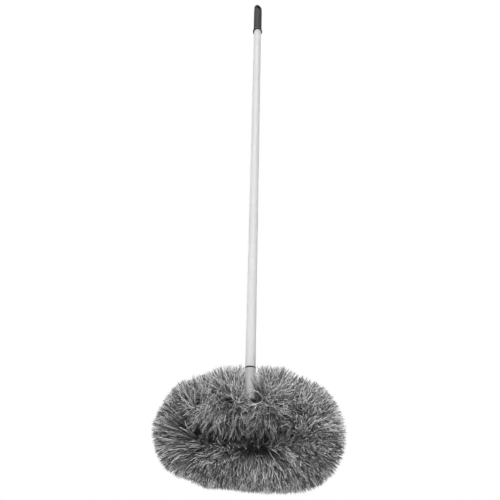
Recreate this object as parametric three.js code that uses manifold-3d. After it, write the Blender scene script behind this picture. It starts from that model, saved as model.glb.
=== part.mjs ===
// Ceiling fan duster: a hand grip with a hang eyelet, four screwed pole lengths and a looped fibre head.
// Millimetres, +Z up. It hangs head down, and the origin is where a hook bears at the top of the hang slot.

import * as THREE from 'three';
import { mergeVertices } from 'three/addons/utils/BufferGeometryUtils.js';
import Module from 'manifold-3d';

const wasm = await Module();
wasm.setup();

// Clearances
const FIT_GAP = 0.3; // radial gap of a pressed or slid fit
const SEAT_GAP = 0.25; // gap between faces that rest on each other
const THREAD_GAP = 0.5; // running gap all round a thread
const WIRE_GAP = 0.6; // gap between the core wire and the wound fibre sleeve
const CUT_MARGIN = 1; // how far a cut runs past the face it opens

// Pole
const TUBE_DIAMETER = 22;
const TUBE_WALL = 1;
const TOP_LENGTH = 304; // tip of the grip to the lower end of the first tube
const SECTION_LENGTH = 307.75; // tube of each lower length
const SECTION_COUNT = 4;

// Grip and eyelet
const GRIP_WALL = 1.2; // sleeve round the tube
const GRIP_LENGTH = 132;
const GRIP_DOME_HEIGHT = 13.5;
const GRIP_CAP_WALL = 4; // solid under the eyelet's ledges, above the tube
const LIP_OVERHANG = 2; // how far the lip stands out from the sleeve
const LIP_HEIGHT = 2;
const LIP_FLARE = 6;
const EYELET_ROOF = 5; // material above the hang slot
const EYELET_WEB = 10; // thickness of the flattened tip
const EYELET_DEPTH = 30; // height of the flats, from the tip
const EYELET_LEDGE = 6; // fall of the sloping ledge under each flat
const EYELET_TURN = THREE.MathUtils.degToRad(35); // turn of the flats from the front towards +X
const HANG_SLOT_WIDTH = 14;
const HANG_SLOT_HEIGHT = 20;

// Screw joints
const THREAD_PITCH = 6;
const THREAD_TURNS = 3;
const THREAD_DEPTH = 1.5;
const THREAD_ROOT_WIDTH = 3.4;
const THREAD_CREST_WIDTH = 1.8;
const THREAD_RUN_OUT = 0.25; // turn over which each end of a thread fades
const THREAD_END_RISE = 0.1; // share of its height at a faded end
const STUB_NECK = 3; // plain length above the thread
const STUB_NOSE = 0.6; // plain length below the thread
const PLUG_LENGTH = 30;
const PLUG_BORE_DIAMETER = 10;
const PLUG_BORE_DEPTH = 26;
const FLANGE_THICKNESS = 2;
const WASHER_THICKNESS = 2;
const WASHER_BORE_GAP = 0.6; // round the thread that passes through
const INSERT_LENGTH = 30;
const INSERT_WALL = 1.2; // outside the groove of the thread

// Neck and socket
const NECK_RING_PROUD = 0.4; // out from the tube
const NECK_RING_THICKNESS = 2.6;
const SOCKET_PROUD = 0.3; // out from the tube
const SOCKET_LENGTH = 68;
const SOCKET_THREAD_DEPTH = 26;
const SOCKET_CHAMFER = 1.5;
const FERRULE_WALL = 1.2; // outside the wire ends
const FERRULE_LENGTH = 34;
const FERRULE_DROP = 2; // from the end of the thread to the ferrule
const PIN_DIAMETER = 3;
const PIN_RECESS = 1.3; // each end of the pin below the socket's surface
const PIN_SPACE = 0.7; // between the pin and each wire end

// Brush loop
const WIRE_DIAMETER = 4;
const STEM_BEND_RADIUS = 14;
const LOOP_DROP = 89; // top of the socket to the upper run
const LOOP_RUN = 132; // straight length between the centres of the two round ends
const LOOP_RADIUS = 35.5; // round ends
const SLEEVE_DIAMETER = 12; // wound roots of the fibres
const BLADE_SLOT = 10; // height kept free of fibres for a fan blade
const FIBRE_REACH = 93; // from the wire to a fibre's tip
const FIBRE_SPREAD = 0.08; // share by which the shortest fibre falls short
const FIBRE_ROOT_RADIUS = 1.3;
const FIBRE_TIP_RADIUS = 0.7;
const FIBRE_LEAST_REACH = 11;
const FIBRES_PER_STATION = 5;
const STATION_STEP = 6.4;
const BEND_FILL = 0.6; // share of the bend radius that inward fibres may cross

// Facets
const ROUND_SIDES = 24;
const THREAD_SIDES = 12;
const WIRE_SIDES = 8;
const ARC_STEPS = 8;
const MERGE_TOLERANCE = 1e-4;
const GOLDEN_SHARE = (Math.sqrt(5) - 1) / 2;

// Sizes that follow from the ones above
const TUBE_BORE_RADIUS = TUBE_DIAMETER / 2 - TUBE_WALL;
const PLUG_RADIUS = TUBE_BORE_RADIUS - FIT_GAP;
const GRIP_DIAMETER = TUBE_DIAMETER + 2 * (FIT_GAP + GRIP_WALL);
const LIP_DIAMETER = GRIP_DIAMETER + 2 * LIP_OVERHANG;
const THREAD_CORE_DIAMETER = 2 * (PLUG_RADIUS - INSERT_WALL - THREAD_GAP - THREAD_DEPTH);
const CORE_RADIUS = THREAD_CORE_DIAMETER / 2;
const CREST_RADIUS = CORE_RADIUS + THREAD_DEPTH;
const WASHER_BORE_DIAMETER = 2 * (CREST_RADIUS + WASHER_BORE_GAP);
const NECK_RING_DIAMETER = TUBE_DIAMETER + 2 * NECK_RING_PROUD;
const SOCKET_DIAMETER = TUBE_DIAMETER + 2 * SOCKET_PROUD;
const STEM_OFFSET = (PIN_DIAMETER + WIRE_DIAMETER) / 2 + PIN_SPACE; // each wire end from the pole axis
const FERRULE_DIAMETER = 2 * (STEM_OFFSET + WIRE_DIAMETER / 2 + FIT_GAP + FERRULE_WALL);
const PIN_LENGTH = SOCKET_DIAMETER - 2 * PIN_RECESS;
const STUB_LENGTH = STUB_NECK + THREAD_ROOT_WIDTH + THREAD_TURNS * THREAD_PITCH + STUB_NOSE;
const WASHER_SEAT = WASHER_THICKNESS + 2 * SEAT_GAP;
const NECK_SEAT = NECK_RING_THICKNESS + 2 * SEAT_GAP;
const FLANGE_FOOT = SEAT_GAP + FLANGE_THICKNESS;
const GRIP_TIP = EYELET_ROOF;
const GRIP_CAP_THICKNESS = EYELET_DEPTH + EYELET_LEDGE + GRIP_CAP_WALL;
const TOP_TUBE_FOOT = GRIP_TIP - TOP_LENGTH;
const TOP_TUBE_LENGTH = TOP_LENGTH - GRIP_CAP_THICKNESS - SEAT_GAP;
const FERRULE_TOP = -SOCKET_THREAD_DEPTH - FERRULE_DROP;
const RUN_HEIGHT = -LOOP_DROP;
const MID_HEIGHT = RUN_HEIGHT - LOOP_RADIUS;
const RUN_START = STEM_OFFSET + STEM_BEND_RADIUS;
const SLEEVE_RADIUS = SLEEVE_DIAMETER / 2;
const SLEEVE_BORE_RADIUS = WIRE_DIAMETER / 2 + WIRE_GAP;

// Finishes
const finish = (color, roughness, metalness = 0) => ({ color, roughness, metalness });
const GRIP_PLASTIC = finish(0x4a4a4a, 0.55);
const POLE_COAT = finish(0xe4e4e2, 0.35, 0.1);
const CONNECTOR_PLASTIC = finish(0xdededc, 0.45);
const WASHER_PLASTIC = finish(0xd2d2d0, 0.5);
const RING_RUBBER = finish(0x1b1b1b, 0.7);
const SOCKET_PLASTIC = finish(0xcdcdcb, 0.45);
const FERRULE_METAL = finish(0xb4b6b8, 0.4, 0.9);
const WIRE_STEEL = finish(0x8e9092, 0.4, 0.9);
const FIBRE = finish(0x868684, 0.9);

// Solid from a closed geometry whose shared vertices are merged and whose empty faces are dropped.
function toSolid(geometry) {
  const bare = geometry.index ? geometry.toNonIndexed() : geometry.clone();
  bare.deleteAttribute('normal');
  bare.deleteAttribute('uv');
  const merged = mergeVertices(bare, MERGE_TOLERANCE);
  const corners = merged.index.array;
  const kept = [];
  for (let i = 0; i < corners.length; i += 3) {
    const [a, b, c] = corners.slice(i, i + 3);
    if (a !== b && b !== c && c !== a) {
      kept.push(a, b, c);
    }
  }
  const vertProperties = merged.attributes.position.array;
  return new wasm.Manifold(new wasm.Mesh({ numProp: 3, vertProperties, triVerts: Uint32Array.from(kept) }));
}

// Geometry from a solid.
function toGeometry(solid) {
  const mesh = solid.getMesh();
  const geometry = new THREE.BufferGeometry();
  geometry.setAttribute('position', new THREE.BufferAttribute(Float32Array.from(mesh.vertProperties), 3));
  geometry.setIndex(new THREE.BufferAttribute(Uint32Array.from(mesh.triVerts), 1));
  geometry.computeVertexNormals();
  return geometry;
}

// Turned piece: a profile of [radius, height] points carried round the Z axis.
function turned(profile, sides = ROUND_SIDES) {
  const points = profile.map(([radius, height]) => new THREE.Vector2(radius, height));
  return new THREE.LatheGeometry(points, sides).rotateX(Math.PI / 2);
}

// Plain ring between two radii and two heights.
function ring(innerRadius, outerRadius, low, high, sides = ROUND_SIDES) {
  const profile = [
    [innerRadius, high],
    [innerRadius, low],
    [outerRadius, low],
    [outerRadius, high],
    [innerRadius, high],
  ];
  return turned(profile, sides);
}

// Plain rod of one radius between two heights.
function rod(radius, low, high, sides) {
  const profile = [
    [0, low],
    [radius, low],
    [radius, high],
    [0, high],
  ];
  return turned(profile, sides);
}

// Closed mesh from rings of equally many points, with flat ends.
function loft(rings) {
  const count = rings[0].length;
  const corners = [];
  for (let i = 0; i + 1 < rings.length; i += 1) {
    for (let j = 0; j < count; j += 1) {
      const a = i * count + j;
      const b = i * count + ((j + 1) % count);
      corners.push(a, b, b + count, a, b + count, a + count);
    }
  }
  const last = (rings.length - 1) * count;
  for (let j = 1; j + 1 < count; j += 1) {
    corners.push(0, j + 1, j, last, last + j, last + j + 1);
  }
  const geometry = new THREE.BufferGeometry().setFromPoints(rings.flat());
  geometry.setIndex(corners);
  return geometry;
}

// Helical ridge of a right-handed thread. Height zero is the underside of the flange.
// Growth widens it on every side, and a fading end sinks into the core over the run-out.
function threadRidge(growth, startTurn, endTurn, fades) {
  const steps = Math.round((endTurn - startTurn) * THREAD_SIDES);
  const sunk = CORE_RADIUS - THREAD_DEPTH / 2;
  const rootHalf = THREAD_ROOT_WIDTH / 2 + growth;
  const crestHalf = THREAD_CREST_WIDTH / 2 + growth;
  const rings = [];
  for (let i = 0; i <= steps; i += 1) {
    const turn = startTurn + ((endTurn - startTurn) * i) / steps;
    const toEnd = Math.min(turn - startTurn, endTurn - turn);
    const rise = fades ? Math.min(1, toEnd / THREAD_RUN_OUT) : 1;
    const crest = THREE.MathUtils.lerp(sunk + growth, CREST_RADIUS + growth, Math.max(rise, THREAD_END_RISE));
    const angle = -2 * Math.PI * turn;
    const height = -STUB_NECK - THREAD_ROOT_WIDTH / 2 - THREAD_PITCH * turn;
    const place = (radius, lift) =>
      new THREE.Vector3(radius * Math.cos(angle), radius * Math.sin(angle), height + lift);
    rings.push([
      place(sunk, -rootHalf),
      place(crest, -crestHalf),
      place(crest, crestHalf),
      place(sunk, rootHalf),
    ]);
  }
  return loft(rings);
}

// Groove that the thread of a connector needs in a part whose top lies a seat below its flange.
function threadGroove(seat) {
  return toSolid(threadRidge(THREAD_GAP, -1, THREAD_TURNS + THREAD_RUN_OUT, false)).translate([0, 0, seat]);
}

// Grip: sleeve over the tube with a flared lip, a domed tip, two flats and the hang slot between them.
function gripGeometry() {
  const radius = GRIP_DIAMETER / 2;
  const bore = TUBE_DIAMETER / 2 + FIT_GAP;
  const foot = GRIP_TIP - GRIP_LENGTH;
  const ceiling = GRIP_TIP - GRIP_CAP_THICKNESS;
  const profile = [
    [0, ceiling],
    [bore, ceiling],
    [bore, foot],
    [LIP_DIAMETER / 2, foot],
    [LIP_DIAMETER / 2, foot + LIP_HEIGHT],
    [radius, foot + LIP_HEIGHT + LIP_FLARE],
  ];
  for (let i = 0; i <= ARC_STEPS; i += 1) {
    const angle = (Math.PI / 2) * (i / ARC_STEPS);
    const across = i === ARC_STEPS ? 0 : radius * Math.cos(angle);
    profile.push([across, GRIP_TIP - GRIP_DOME_HEIGHT * (1 - Math.sin(angle))]);
  }
  const body = toSolid(turned(profile));

  const ledge = GRIP_TIP - EYELET_DEPTH;
  const outside = radius + CUT_MARGIN;
  const flat = new THREE.Shape([
    new THREE.Vector2(EYELET_WEB / 2, GRIP_TIP + CUT_MARGIN),
    new THREE.Vector2(EYELET_WEB / 2, ledge),
    new THREE.Vector2(outside, ledge - EYELET_LEDGE),
    new THREE.Vector2(outside, GRIP_TIP + CUT_MARGIN),
  ]);
  const flatCut = new THREE.ExtrudeGeometry(flat, { depth: 2 * outside, bevelEnabled: false });
  flatCut.translate(0, 0, -outside).rotateX(Math.PI / 2).rotateZ(EYELET_TURN - Math.PI / 2);
  const frontCut = toSolid(flatCut);
  const backCut = toSolid(flatCut.clone().rotateZ(Math.PI));

  const end = HANG_SLOT_WIDTH / 2;
  const slot = new THREE.Shape();
  slot.absarc(0, -end, end, 0, Math.PI, false);
  slot.absarc(0, end - HANG_SLOT_HEIGHT, end, Math.PI, 2 * Math.PI, false);
  const slotCut = new THREE.ExtrudeGeometry(slot, {
    depth: 2 * outside,
    bevelEnabled: false,
    curveSegments: ARC_STEPS,
  });
  slotCut.translate(0, 0, -outside).rotateX(Math.PI / 2).rotateZ(EYELET_TURN);
  return toGeometry(body.subtract(frontCut).subtract(backCut).subtract(toSolid(slotCut)));
}

// Tube of one pole length, standing on height zero.
function tubeGeometry(length) {
  return ring(TUBE_BORE_RADIUS, TUBE_DIAMETER / 2, 0, length);
}

// Connector: plug inside the tube's foot at height zero, a flange under it and a threaded stub.
function connectorGeometry() {
  const bore = PLUG_BORE_DIAMETER / 2;
  const plug = toSolid(
    turned([
      [0, -FLANGE_FOOT],
      [TUBE_DIAMETER / 2, -FLANGE_FOOT],
      [TUBE_DIAMETER / 2, -SEAT_GAP],
      [PLUG_RADIUS, -SEAT_GAP],
      [PLUG_RADIUS, PLUG_LENGTH],
      [bore, PLUG_LENGTH],
      [bore, PLUG_LENGTH - PLUG_BORE_DEPTH],
      [0, PLUG_LENGTH - PLUG_BORE_DEPTH],
    ]),
  );
  const stub = toSolid(rod(CORE_RADIUS, -FLANGE_FOOT - STUB_LENGTH, -SEAT_GAP, THREAD_SIDES));
  const ridge = toSolid(threadRidge(0, 0, THREAD_TURNS, true)).translate([0, 0, -FLANGE_FOOT]);
  return toGeometry(plug.add(stub).add(ridge));
}

// Insert: threaded bush flush with the tube's top at height zero.
function insertGeometry() {
  const body = toSolid(ring(CORE_RADIUS + THREAD_GAP, PLUG_RADIUS, -INSERT_LENGTH, 0, THREAD_SIDES));
  return toGeometry(body.subtract(threadGroove(WASHER_SEAT)));
}

// Washer or neck ring under a flange whose connector's tube foot is at height zero.
function sealGeometry(diameter, thickness) {
  const top = -FLANGE_FOOT - SEAT_GAP;
  return ring(WASHER_BORE_DIAMETER / 2, diameter / 2, top - thickness, top);
}

// Hole across the socket and ferrule for the pin.
function pinHole() {
  const height = FERRULE_TOP - FERRULE_LENGTH / 2;
  const hole = new THREE.CylinderGeometry(
    PIN_DIAMETER / 2 + FIT_GAP,
    PIN_DIAMETER / 2 + FIT_GAP,
    2 * SOCKET_DIAMETER,
    ROUND_SIDES / 2,
  );
  return toSolid(hole.translate(0, 0, height));
}

// Socket: threaded above for the pole tip and bored below for the ferrule, its top at height zero.
function socketGeometry() {
  const ferruleBore = FERRULE_DIAMETER / 2 + FIT_GAP;
  const radius = SOCKET_DIAMETER / 2;
  const body = toSolid(
    turned([
      [0, -SOCKET_THREAD_DEPTH],
      [ferruleBore, -SOCKET_THREAD_DEPTH],
      [ferruleBore, -SOCKET_LENGTH],
      [radius - SOCKET_CHAMFER, -SOCKET_LENGTH],
      [radius, SOCKET_CHAMFER - SOCKET_LENGTH],
      [radius, 0],
      [0, 0],
    ]),
  );
  const boreFoot = -SOCKET_THREAD_DEPTH - CUT_MARGIN;
  const threadBore = rod(CORE_RADIUS + THREAD_GAP, boreFoot, CUT_MARGIN, THREAD_SIDES);
  const threaded = body.subtract(toSolid(threadBore)).subtract(threadGroove(NECK_SEAT));
  return toGeometry(threaded.subtract(pinHole()));
}

// Ferrule: round slug with one long hole for both wire ends and a cross hole for the pin.
function ferruleGeometry() {
  const outline = new THREE.Shape();
  outline.absarc(0, 0, FERRULE_DIAMETER / 2, 0, 2 * Math.PI, false);
  const half = WIRE_DIAMETER / 2 + FIT_GAP;
  const hole = new THREE.Path();
  hole.absarc(STEM_OFFSET, 0, half, -Math.PI / 2, Math.PI / 2, false);
  hole.absarc(-STEM_OFFSET, 0, half, Math.PI / 2, (3 * Math.PI) / 2, false);
  outline.holes.push(hole);
  const slug = new THREE.ExtrudeGeometry(outline, {
    depth: FERRULE_LENGTH,
    bevelEnabled: false,
    curveSegments: ROUND_SIDES / 2,
  });
  return toGeometry(toSolid(slug.translate(0, 0, FERRULE_TOP - FERRULE_LENGTH)).subtract(pinHole()));
}

// Pin across the socket, along Y.
function pinGeometry() {
  const pin = new THREE.CylinderGeometry(PIN_DIAMETER / 2, PIN_DIAMETER / 2, PIN_LENGTH, ROUND_SIDES / 2);
  return pin.translate(0, 0, FERRULE_TOP - FERRULE_LENGTH / 2);
}

// Rings of a round section carried along points of the loop's plane.
function sectionRings(points, radius) {
  return points.map((point, i) => {
    const before = points[Math.max(i - 1, 0)];
    const after = points[Math.min(i + 1, points.length - 1)];
    const incoming = point.clone().sub(before).normalize();
    const outgoing = after.clone().sub(point).normalize();
    const along = incoming.add(outgoing).normalize();
    const section = [];
    for (let j = 0; j < WIRE_SIDES; j += 1) {
      const angle = (2 * Math.PI * j) / WIRE_SIDES;
      const across = radius * Math.cos(angle);
      const depth = -radius * Math.sin(angle);
      section.push(new THREE.Vector3(point.x - along.y * across, depth, point.y + along.x * across));
    }
    return section;
  });
}

// Core wire: down from the ferrule, out along the upper run, round the loop and back up beside itself.
function wireGeometry() {
  const half = LOOP_RUN / 2;
  const quarter = Math.PI / 2;
  const stemFoot = RUN_HEIGHT + STEM_BEND_RADIUS;
  const route = new THREE.Path();
  route.moveTo(-STEM_OFFSET, FERRULE_TOP);
  route.lineTo(-STEM_OFFSET, stemFoot);
  route.absarc(-RUN_START, stemFoot, STEM_BEND_RADIUS, 0, -quarter, true);
  route.absarc(-half, MID_HEIGHT, LOOP_RADIUS, quarter, 2 * quarter, false);
  route.absarc(-half, MID_HEIGHT, LOOP_RADIUS, 2 * quarter, 3 * quarter, false);
  route.absarc(half, MID_HEIGHT, LOOP_RADIUS, -quarter, 0, false);
  route.absarc(half, MID_HEIGHT, LOOP_RADIUS, 0, quarter, false);
  route.absarc(RUN_START, stemFoot, STEM_BEND_RADIUS, -quarter, -2 * quarter, true);
  route.lineTo(STEM_OFFSET, FERRULE_TOP);
  return loft(sectionRings(route.getPoints(ARC_STEPS / 2), WIRE_DIAMETER / 2));
}

// Stretch of the loop that one fibre bundle is wound on: a straight run and a quarter of the round end.
// Side is -1 on the left and 1 on the right, level is 1 above the blade slot and -1 below it.
function bundleRoute(side, level) {
  const half = LOOP_RUN / 2;
  const start = level > 0 ? RUN_START : SEAT_GAP / 2;
  const clear = BLADE_SLOT / 2 + 2 * SEAT_GAP;
  const stop = Math.acos(clear / (LOOP_RADIUS - SLEEVE_RADIUS));
  const points = [new THREE.Vector2(side * start, MID_HEIGHT + level * LOOP_RADIUS)];
  for (let i = 0; i <= ARC_STEPS; i += 1) {
    const angle = (stop * i) / ARC_STEPS;
    const out = half + LOOP_RADIUS * Math.sin(angle);
    points.push(new THREE.Vector2(side * out, MID_HEIGHT + level * LOOP_RADIUS * Math.cos(angle)));
  }
  const straight = half - start;
  const length = straight + LOOP_RADIUS * stop;
  const at = (distance) => {
    const angle = Math.max(0, distance - straight) / LOOP_RADIUS;
    const run = Math.min(start + distance, half);
    const outward = new THREE.Vector3(side * Math.sin(angle), 0, level * Math.cos(angle));
    const centre = new THREE.Vector3(side * run, 0, MID_HEIGHT);
    return { root: centre.addScaledVector(outward, LOOP_RADIUS), outward, curved: angle > 0 };
  };
  return { points, length, at };
}

// Length of one fibre, kept out of the blade slot and out of the middle of the round end.
function fibreReach(station, direction, level, wanted) {
  let reach = wanted;
  const towardSlot = -direction.z * level;
  if (towardSlot > 0) {
    const room = Math.abs(station.root.z - MID_HEIGHT) - BLADE_SLOT / 2 - FIBRE_ROOT_RADIUS;
    reach = Math.min(reach, room / towardSlot);
  }
  const inward = -direction.dot(station.outward);
  if (station.curved && inward > 0) {
    reach = Math.min(reach, (BEND_FILL * LOOP_RADIUS) / inward);
  }
  return reach;
}

// One fibre: a tapered three-sided strand from inside the wound sleeve to its tip.
function fibreGeometry(root, direction, along, reach) {
  const sideways = new THREE.Vector3().crossVectors(direction, along);
  const section = (distance, radius) =>
    [0, 1, 2].map((corner) => {
      const angle = (2 * Math.PI * corner) / 3;
      return root
        .clone()
        .addScaledVector(direction, distance)
        .addScaledVector(along, radius * Math.cos(angle))
        .addScaledVector(sideways, -radius * Math.sin(angle));
    });
  const sunk = (SLEEVE_RADIUS + SLEEVE_BORE_RADIUS) / 2;
  return loft([section(sunk, FIBRE_ROOT_RADIUS), section(reach, FIBRE_TIP_RADIUS)].reverse());
}

// Points of a route with one more past each end, a wire's width on.
function lengthened(points) {
  const beyond = (end, next) => end.clone().sub(next).setLength(WIRE_DIAMETER).add(end);
  return [beyond(points[0], points[1]), ...points, beyond(points.at(-1), points.at(-2))];
}

// Fibre bundle: a sleeve round the wire with fibres standing out all round it, station by station
// from the tip of the round end inwards.
function bundleGeometry(side, level) {
  const route = bundleRoute(side, level);
  const inner = loft(sectionRings(lengthened(route.points), SLEEVE_BORE_RADIUS));
  const outer = loft(sectionRings(route.points, SLEEVE_RADIUS));
  const strands = [];
  const stations = Math.floor(route.length / STATION_STEP);
  for (let i = 0; i < stations; i += 1) {
    const station = route.at(route.length * (1 - (i + 0.5) / stations));
    const along = new THREE.Vector3(station.outward.z, 0, -station.outward.x);
    for (let j = 0; j < FIBRES_PER_STATION; j += 1) {
      const angle = 2 * Math.PI * ((j + i * GOLDEN_SHARE) / FIBRES_PER_STATION);
      const direction = station.outward.clone().multiplyScalar(Math.cos(angle));
      direction.y = Math.sin(angle);
      const short = FIBRE_SPREAD * ((i * FIBRES_PER_STATION + j) * GOLDEN_SHARE % 1);
      const reach = fibreReach(station, direction, level, FIBRE_REACH * (1 - short));
      if (reach > FIBRE_LEAST_REACH) {
        strands.push(toSolid(fibreGeometry(station.root, direction, along, reach)));
      }
    }
  }
  const sleeve = toSolid(outer).subtract(toSolid(inner));
  return toGeometry(wasm.Manifold.union([sleeve, ...strands]));
}

// Named mesh with its finish.
function piece(name, geometry, material) {
  const mesh = new THREE.Mesh(geometry, new THREE.MeshStandardMaterial(material));
  mesh.name = name;
  return mesh;
}

// Pole length with its connector below and, on all but the first, its insert above.
// Height zero is the tube's foot.
function poleSection(number) {
  const group = new THREE.Group();
  const length = number === 1 ? TOP_TUBE_LENGTH : SECTION_LENGTH;
  group.add(piece(`pole_section_${number}`, tubeGeometry(length), POLE_COAT));
  group.add(piece(`male_connector_${number}`, connectorGeometry(), CONNECTOR_PLASTIC));
  if (number > 1) {
    const insert = piece(`female_insert_${number}`, insertGeometry(), CONNECTOR_PLASTIC);
    insert.position.z = length;
    group.add(insert);
  }
  if (number < SECTION_COUNT) {
    const washer = sealGeometry(TUBE_DIAMETER, WASHER_THICKNESS);
    group.add(piece(`joint_washer_${number}`, washer, WASHER_PLASTIC));
  } else {
    group.add(piece('neck_ring', sealGeometry(NECK_RING_DIAMETER, NECK_RING_THICKNESS), RING_RUBBER));
  }
  return group;
}

// Head: socket, ferrule, pin, wire and the four fibre bundles. Height zero is the socket's top.
function dusterHead() {
  const group = new THREE.Group();
  group.add(piece('head_socket', socketGeometry(), SOCKET_PLASTIC));
  group.add(piece('wire_ferrule', ferruleGeometry(), FERRULE_METAL));
  group.add(piece('socket_pin', pinGeometry(), WIRE_STEEL));
  group.add(piece('core_wire', wireGeometry(), WIRE_STEEL));
  for (const [levelName, level] of [['upper', 1], ['lower', -1]]) {
    for (const [sideName, side] of [['left', -1], ['right', 1]]) {
      group.add(piece(`fibre_${levelName}_${sideName}`, bundleGeometry(side, level), FIBRE));
    }
  }
  return group;
}

const duster = new THREE.Group();
duster.name = 'ceiling_fan_duster';
duster.add(piece('grip', gripGeometry(), GRIP_PLASTIC));
let foot = TOP_TUBE_FOOT;
for (let number = 1; number <= SECTION_COUNT; number += 1) {
  const section = poleSection(number);
  section.position.z = foot;
  duster.add(section);
  const lastSection = number === SECTION_COUNT;
  foot -= FLANGE_FOOT + (lastSection ? NECK_SEAT : WASHER_SEAT + SECTION_LENGTH);
}
const head = dusterHead();
head.position.z = foot;
duster.add(head);

export default duster;
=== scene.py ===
"""Ceiling fan duster: finishes, modelled pieces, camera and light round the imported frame.

Metres, +Z up, the head hanging down, -Y to the front. Every piece is a numpy surface that takes its place
and main sizes from the frame's own nodes.
"""

import logging
import math
from collections.abc import Callable
from dataclasses import dataclass, field
from enum import Enum
from typing import ClassVar

import bpy
import numpy as np
from mathutils import Matrix, Vector


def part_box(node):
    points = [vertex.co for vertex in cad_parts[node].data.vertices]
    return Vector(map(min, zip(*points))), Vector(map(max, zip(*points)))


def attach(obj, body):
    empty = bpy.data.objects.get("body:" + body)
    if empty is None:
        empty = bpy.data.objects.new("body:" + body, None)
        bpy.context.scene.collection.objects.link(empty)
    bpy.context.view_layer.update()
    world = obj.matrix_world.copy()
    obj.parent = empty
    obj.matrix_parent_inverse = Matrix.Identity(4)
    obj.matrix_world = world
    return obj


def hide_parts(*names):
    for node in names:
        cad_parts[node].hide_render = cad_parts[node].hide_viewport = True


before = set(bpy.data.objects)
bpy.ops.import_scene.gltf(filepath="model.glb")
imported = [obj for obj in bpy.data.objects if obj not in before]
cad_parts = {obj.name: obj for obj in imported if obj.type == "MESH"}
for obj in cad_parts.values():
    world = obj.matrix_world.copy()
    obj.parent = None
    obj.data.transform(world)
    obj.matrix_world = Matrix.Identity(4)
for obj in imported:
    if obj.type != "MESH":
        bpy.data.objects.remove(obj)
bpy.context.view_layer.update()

log = logging.getLogger("duster")

MM = 0.001
TOUCH = 1e-7
TINY = 1e-12
STRAND_MAP = "OFBake"
SEED = 41

Array = np.ndarray
Color = tuple[float, float, float]
Lift = Callable[[Array, Array, Array], Array]

BACKWARD = np.array([0.0, 1.0, 0.0])
DOWN = np.array([0.0, 0.0, -1.0])


class Slot(Enum):
    """Material slots of the record, one passed with each modelled piece."""

    GRIP = "grip_plastic"
    POLE = "pole_coat"
    CONNECTOR = "connector_plastic"
    WASHER = "washer_plastic"
    RING = "ring_rubber"
    SOCKET = "socket_plastic"
    WIRE = "wire_steel"
    FIBRE = "fibre"


class Side(Enum):
    """Left or right half of the loop, as a sign along X."""

    LEFT = -1
    RIGHT = 1


class Level(Enum):
    """Upper or lower run of the loop, as a sign along Z."""

    UPPER = 1
    LOWER = -1


# Sums


def unit(vectors: Array) -> Array:
    """Vectors at length one, along the last axis."""
    return vectors / np.maximum(np.linalg.norm(vectors, axis=-1, keepdims=True), TINY)


def ease(x: Array) -> Array:
    """Smooth step 3x^2 - 2x^3 of x held between 0 and 1."""
    x = np.clip(x, 0, 1)
    return x * x * (3 - 2 * x)


def spread(rng: np.random.Generator, size: float, shape: int | tuple[int, ...]) -> Array:
    """Bell-shaped chance of a size, cut off at twice it."""
    return np.clip(rng.normal(0, size, shape), -2 * size, 2 * size)


def smooth_least(a: Array, b: Array, width: float) -> Array:
    """Lesser of two fields, with the crease between them rounded over a width: a blend minus w h (1-h)."""
    h = np.clip(0.5 + 0.5 * (b - a) / width, 0, 1)
    return b + (a - b) * h - width * h * (1 - h)


# Meshes


def put_mesh(name: str, points: Array, corners: Array, sizes: Array) -> bpy.types.Object:
    """Make an object from whole arrays, smooth shaded, with its faces turned outwards.

    The sign of the enclosed volume, the sum over triangle fans of a . (b x c), tells which way faces point.

    Args:
        name: The piece's name.
        points: Vertices, one row each.
        corners: Vertex numbers of all faces, one face after another.
        sizes: How many corners each face has.

    Returns:
        The new object, linked to the scene.
    """
    starts = np.concatenate(([0], np.cumsum(sizes)[:-1]))
    first = points[corners[starts]]
    volume = 0.0
    for step in range(1, int(sizes.max()) - 1):
        wide = sizes > step + 1
        b = points[corners[starts[wide] + step]]
        c = points[corners[starts[wide] + step + 1]]
        volume += float(np.einsum("ij,ij->", first[wide], np.cross(b, c)))
    if volume < 0:
        owner = np.repeat(np.arange(len(sizes)), sizes)
        within = np.arange(len(corners)) - starts[owner]
        corners = corners[starts[owner] + sizes[owner] - 1 - within]
    mesh = bpy.data.meshes.new(name)
    mesh.vertices.add(len(points))
    mesh.vertices.foreach_set("co", points.astype(np.float32).ravel())
    mesh.loops.add(len(corners))
    mesh.loops.foreach_set("vertex_index", corners.astype(np.int32))
    mesh.polygons.add(len(sizes))
    mesh.polygons.foreach_set("loop_start", starts.astype(np.int32))
    mesh.polygons.foreach_set("use_smooth", np.ones(len(sizes), bool))
    mesh.update(calc_edges=True)
    piece = bpy.data.objects.new(name, mesh)
    bpy.context.scene.collection.objects.link(piece)
    return piece


def put_map(piece: bpy.types.Object, spots: Array) -> None:
    """Give a piece its strand map, one (u, v) per face corner."""
    strand_map = piece.data.uv_layers.new(name=STRAND_MAP)
    strand_map.data.foreach_set("uv", spots.astype(np.float32).ravel())


def grid_faces(rows: int, columns: int, closed: bool) -> Array:
    """Quads of a grid whose columns run round, as vertex numbers.

    Args:
        rows: Number of rings.
        columns: Points in each ring.
        closed: Whether the last ring joins the first.

    Returns:
        One row of four vertex numbers per quad.
    """
    i, j = np.meshgrid(np.arange(rows if closed else rows - 1), np.arange(columns), indexing="ij")
    here, below = i * columns, (i + 1) % rows * columns
    beside = (j + 1) % columns
    return np.stack([here + j, here + beside, below + beside, below + j], -1).reshape(-1, 4)


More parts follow.
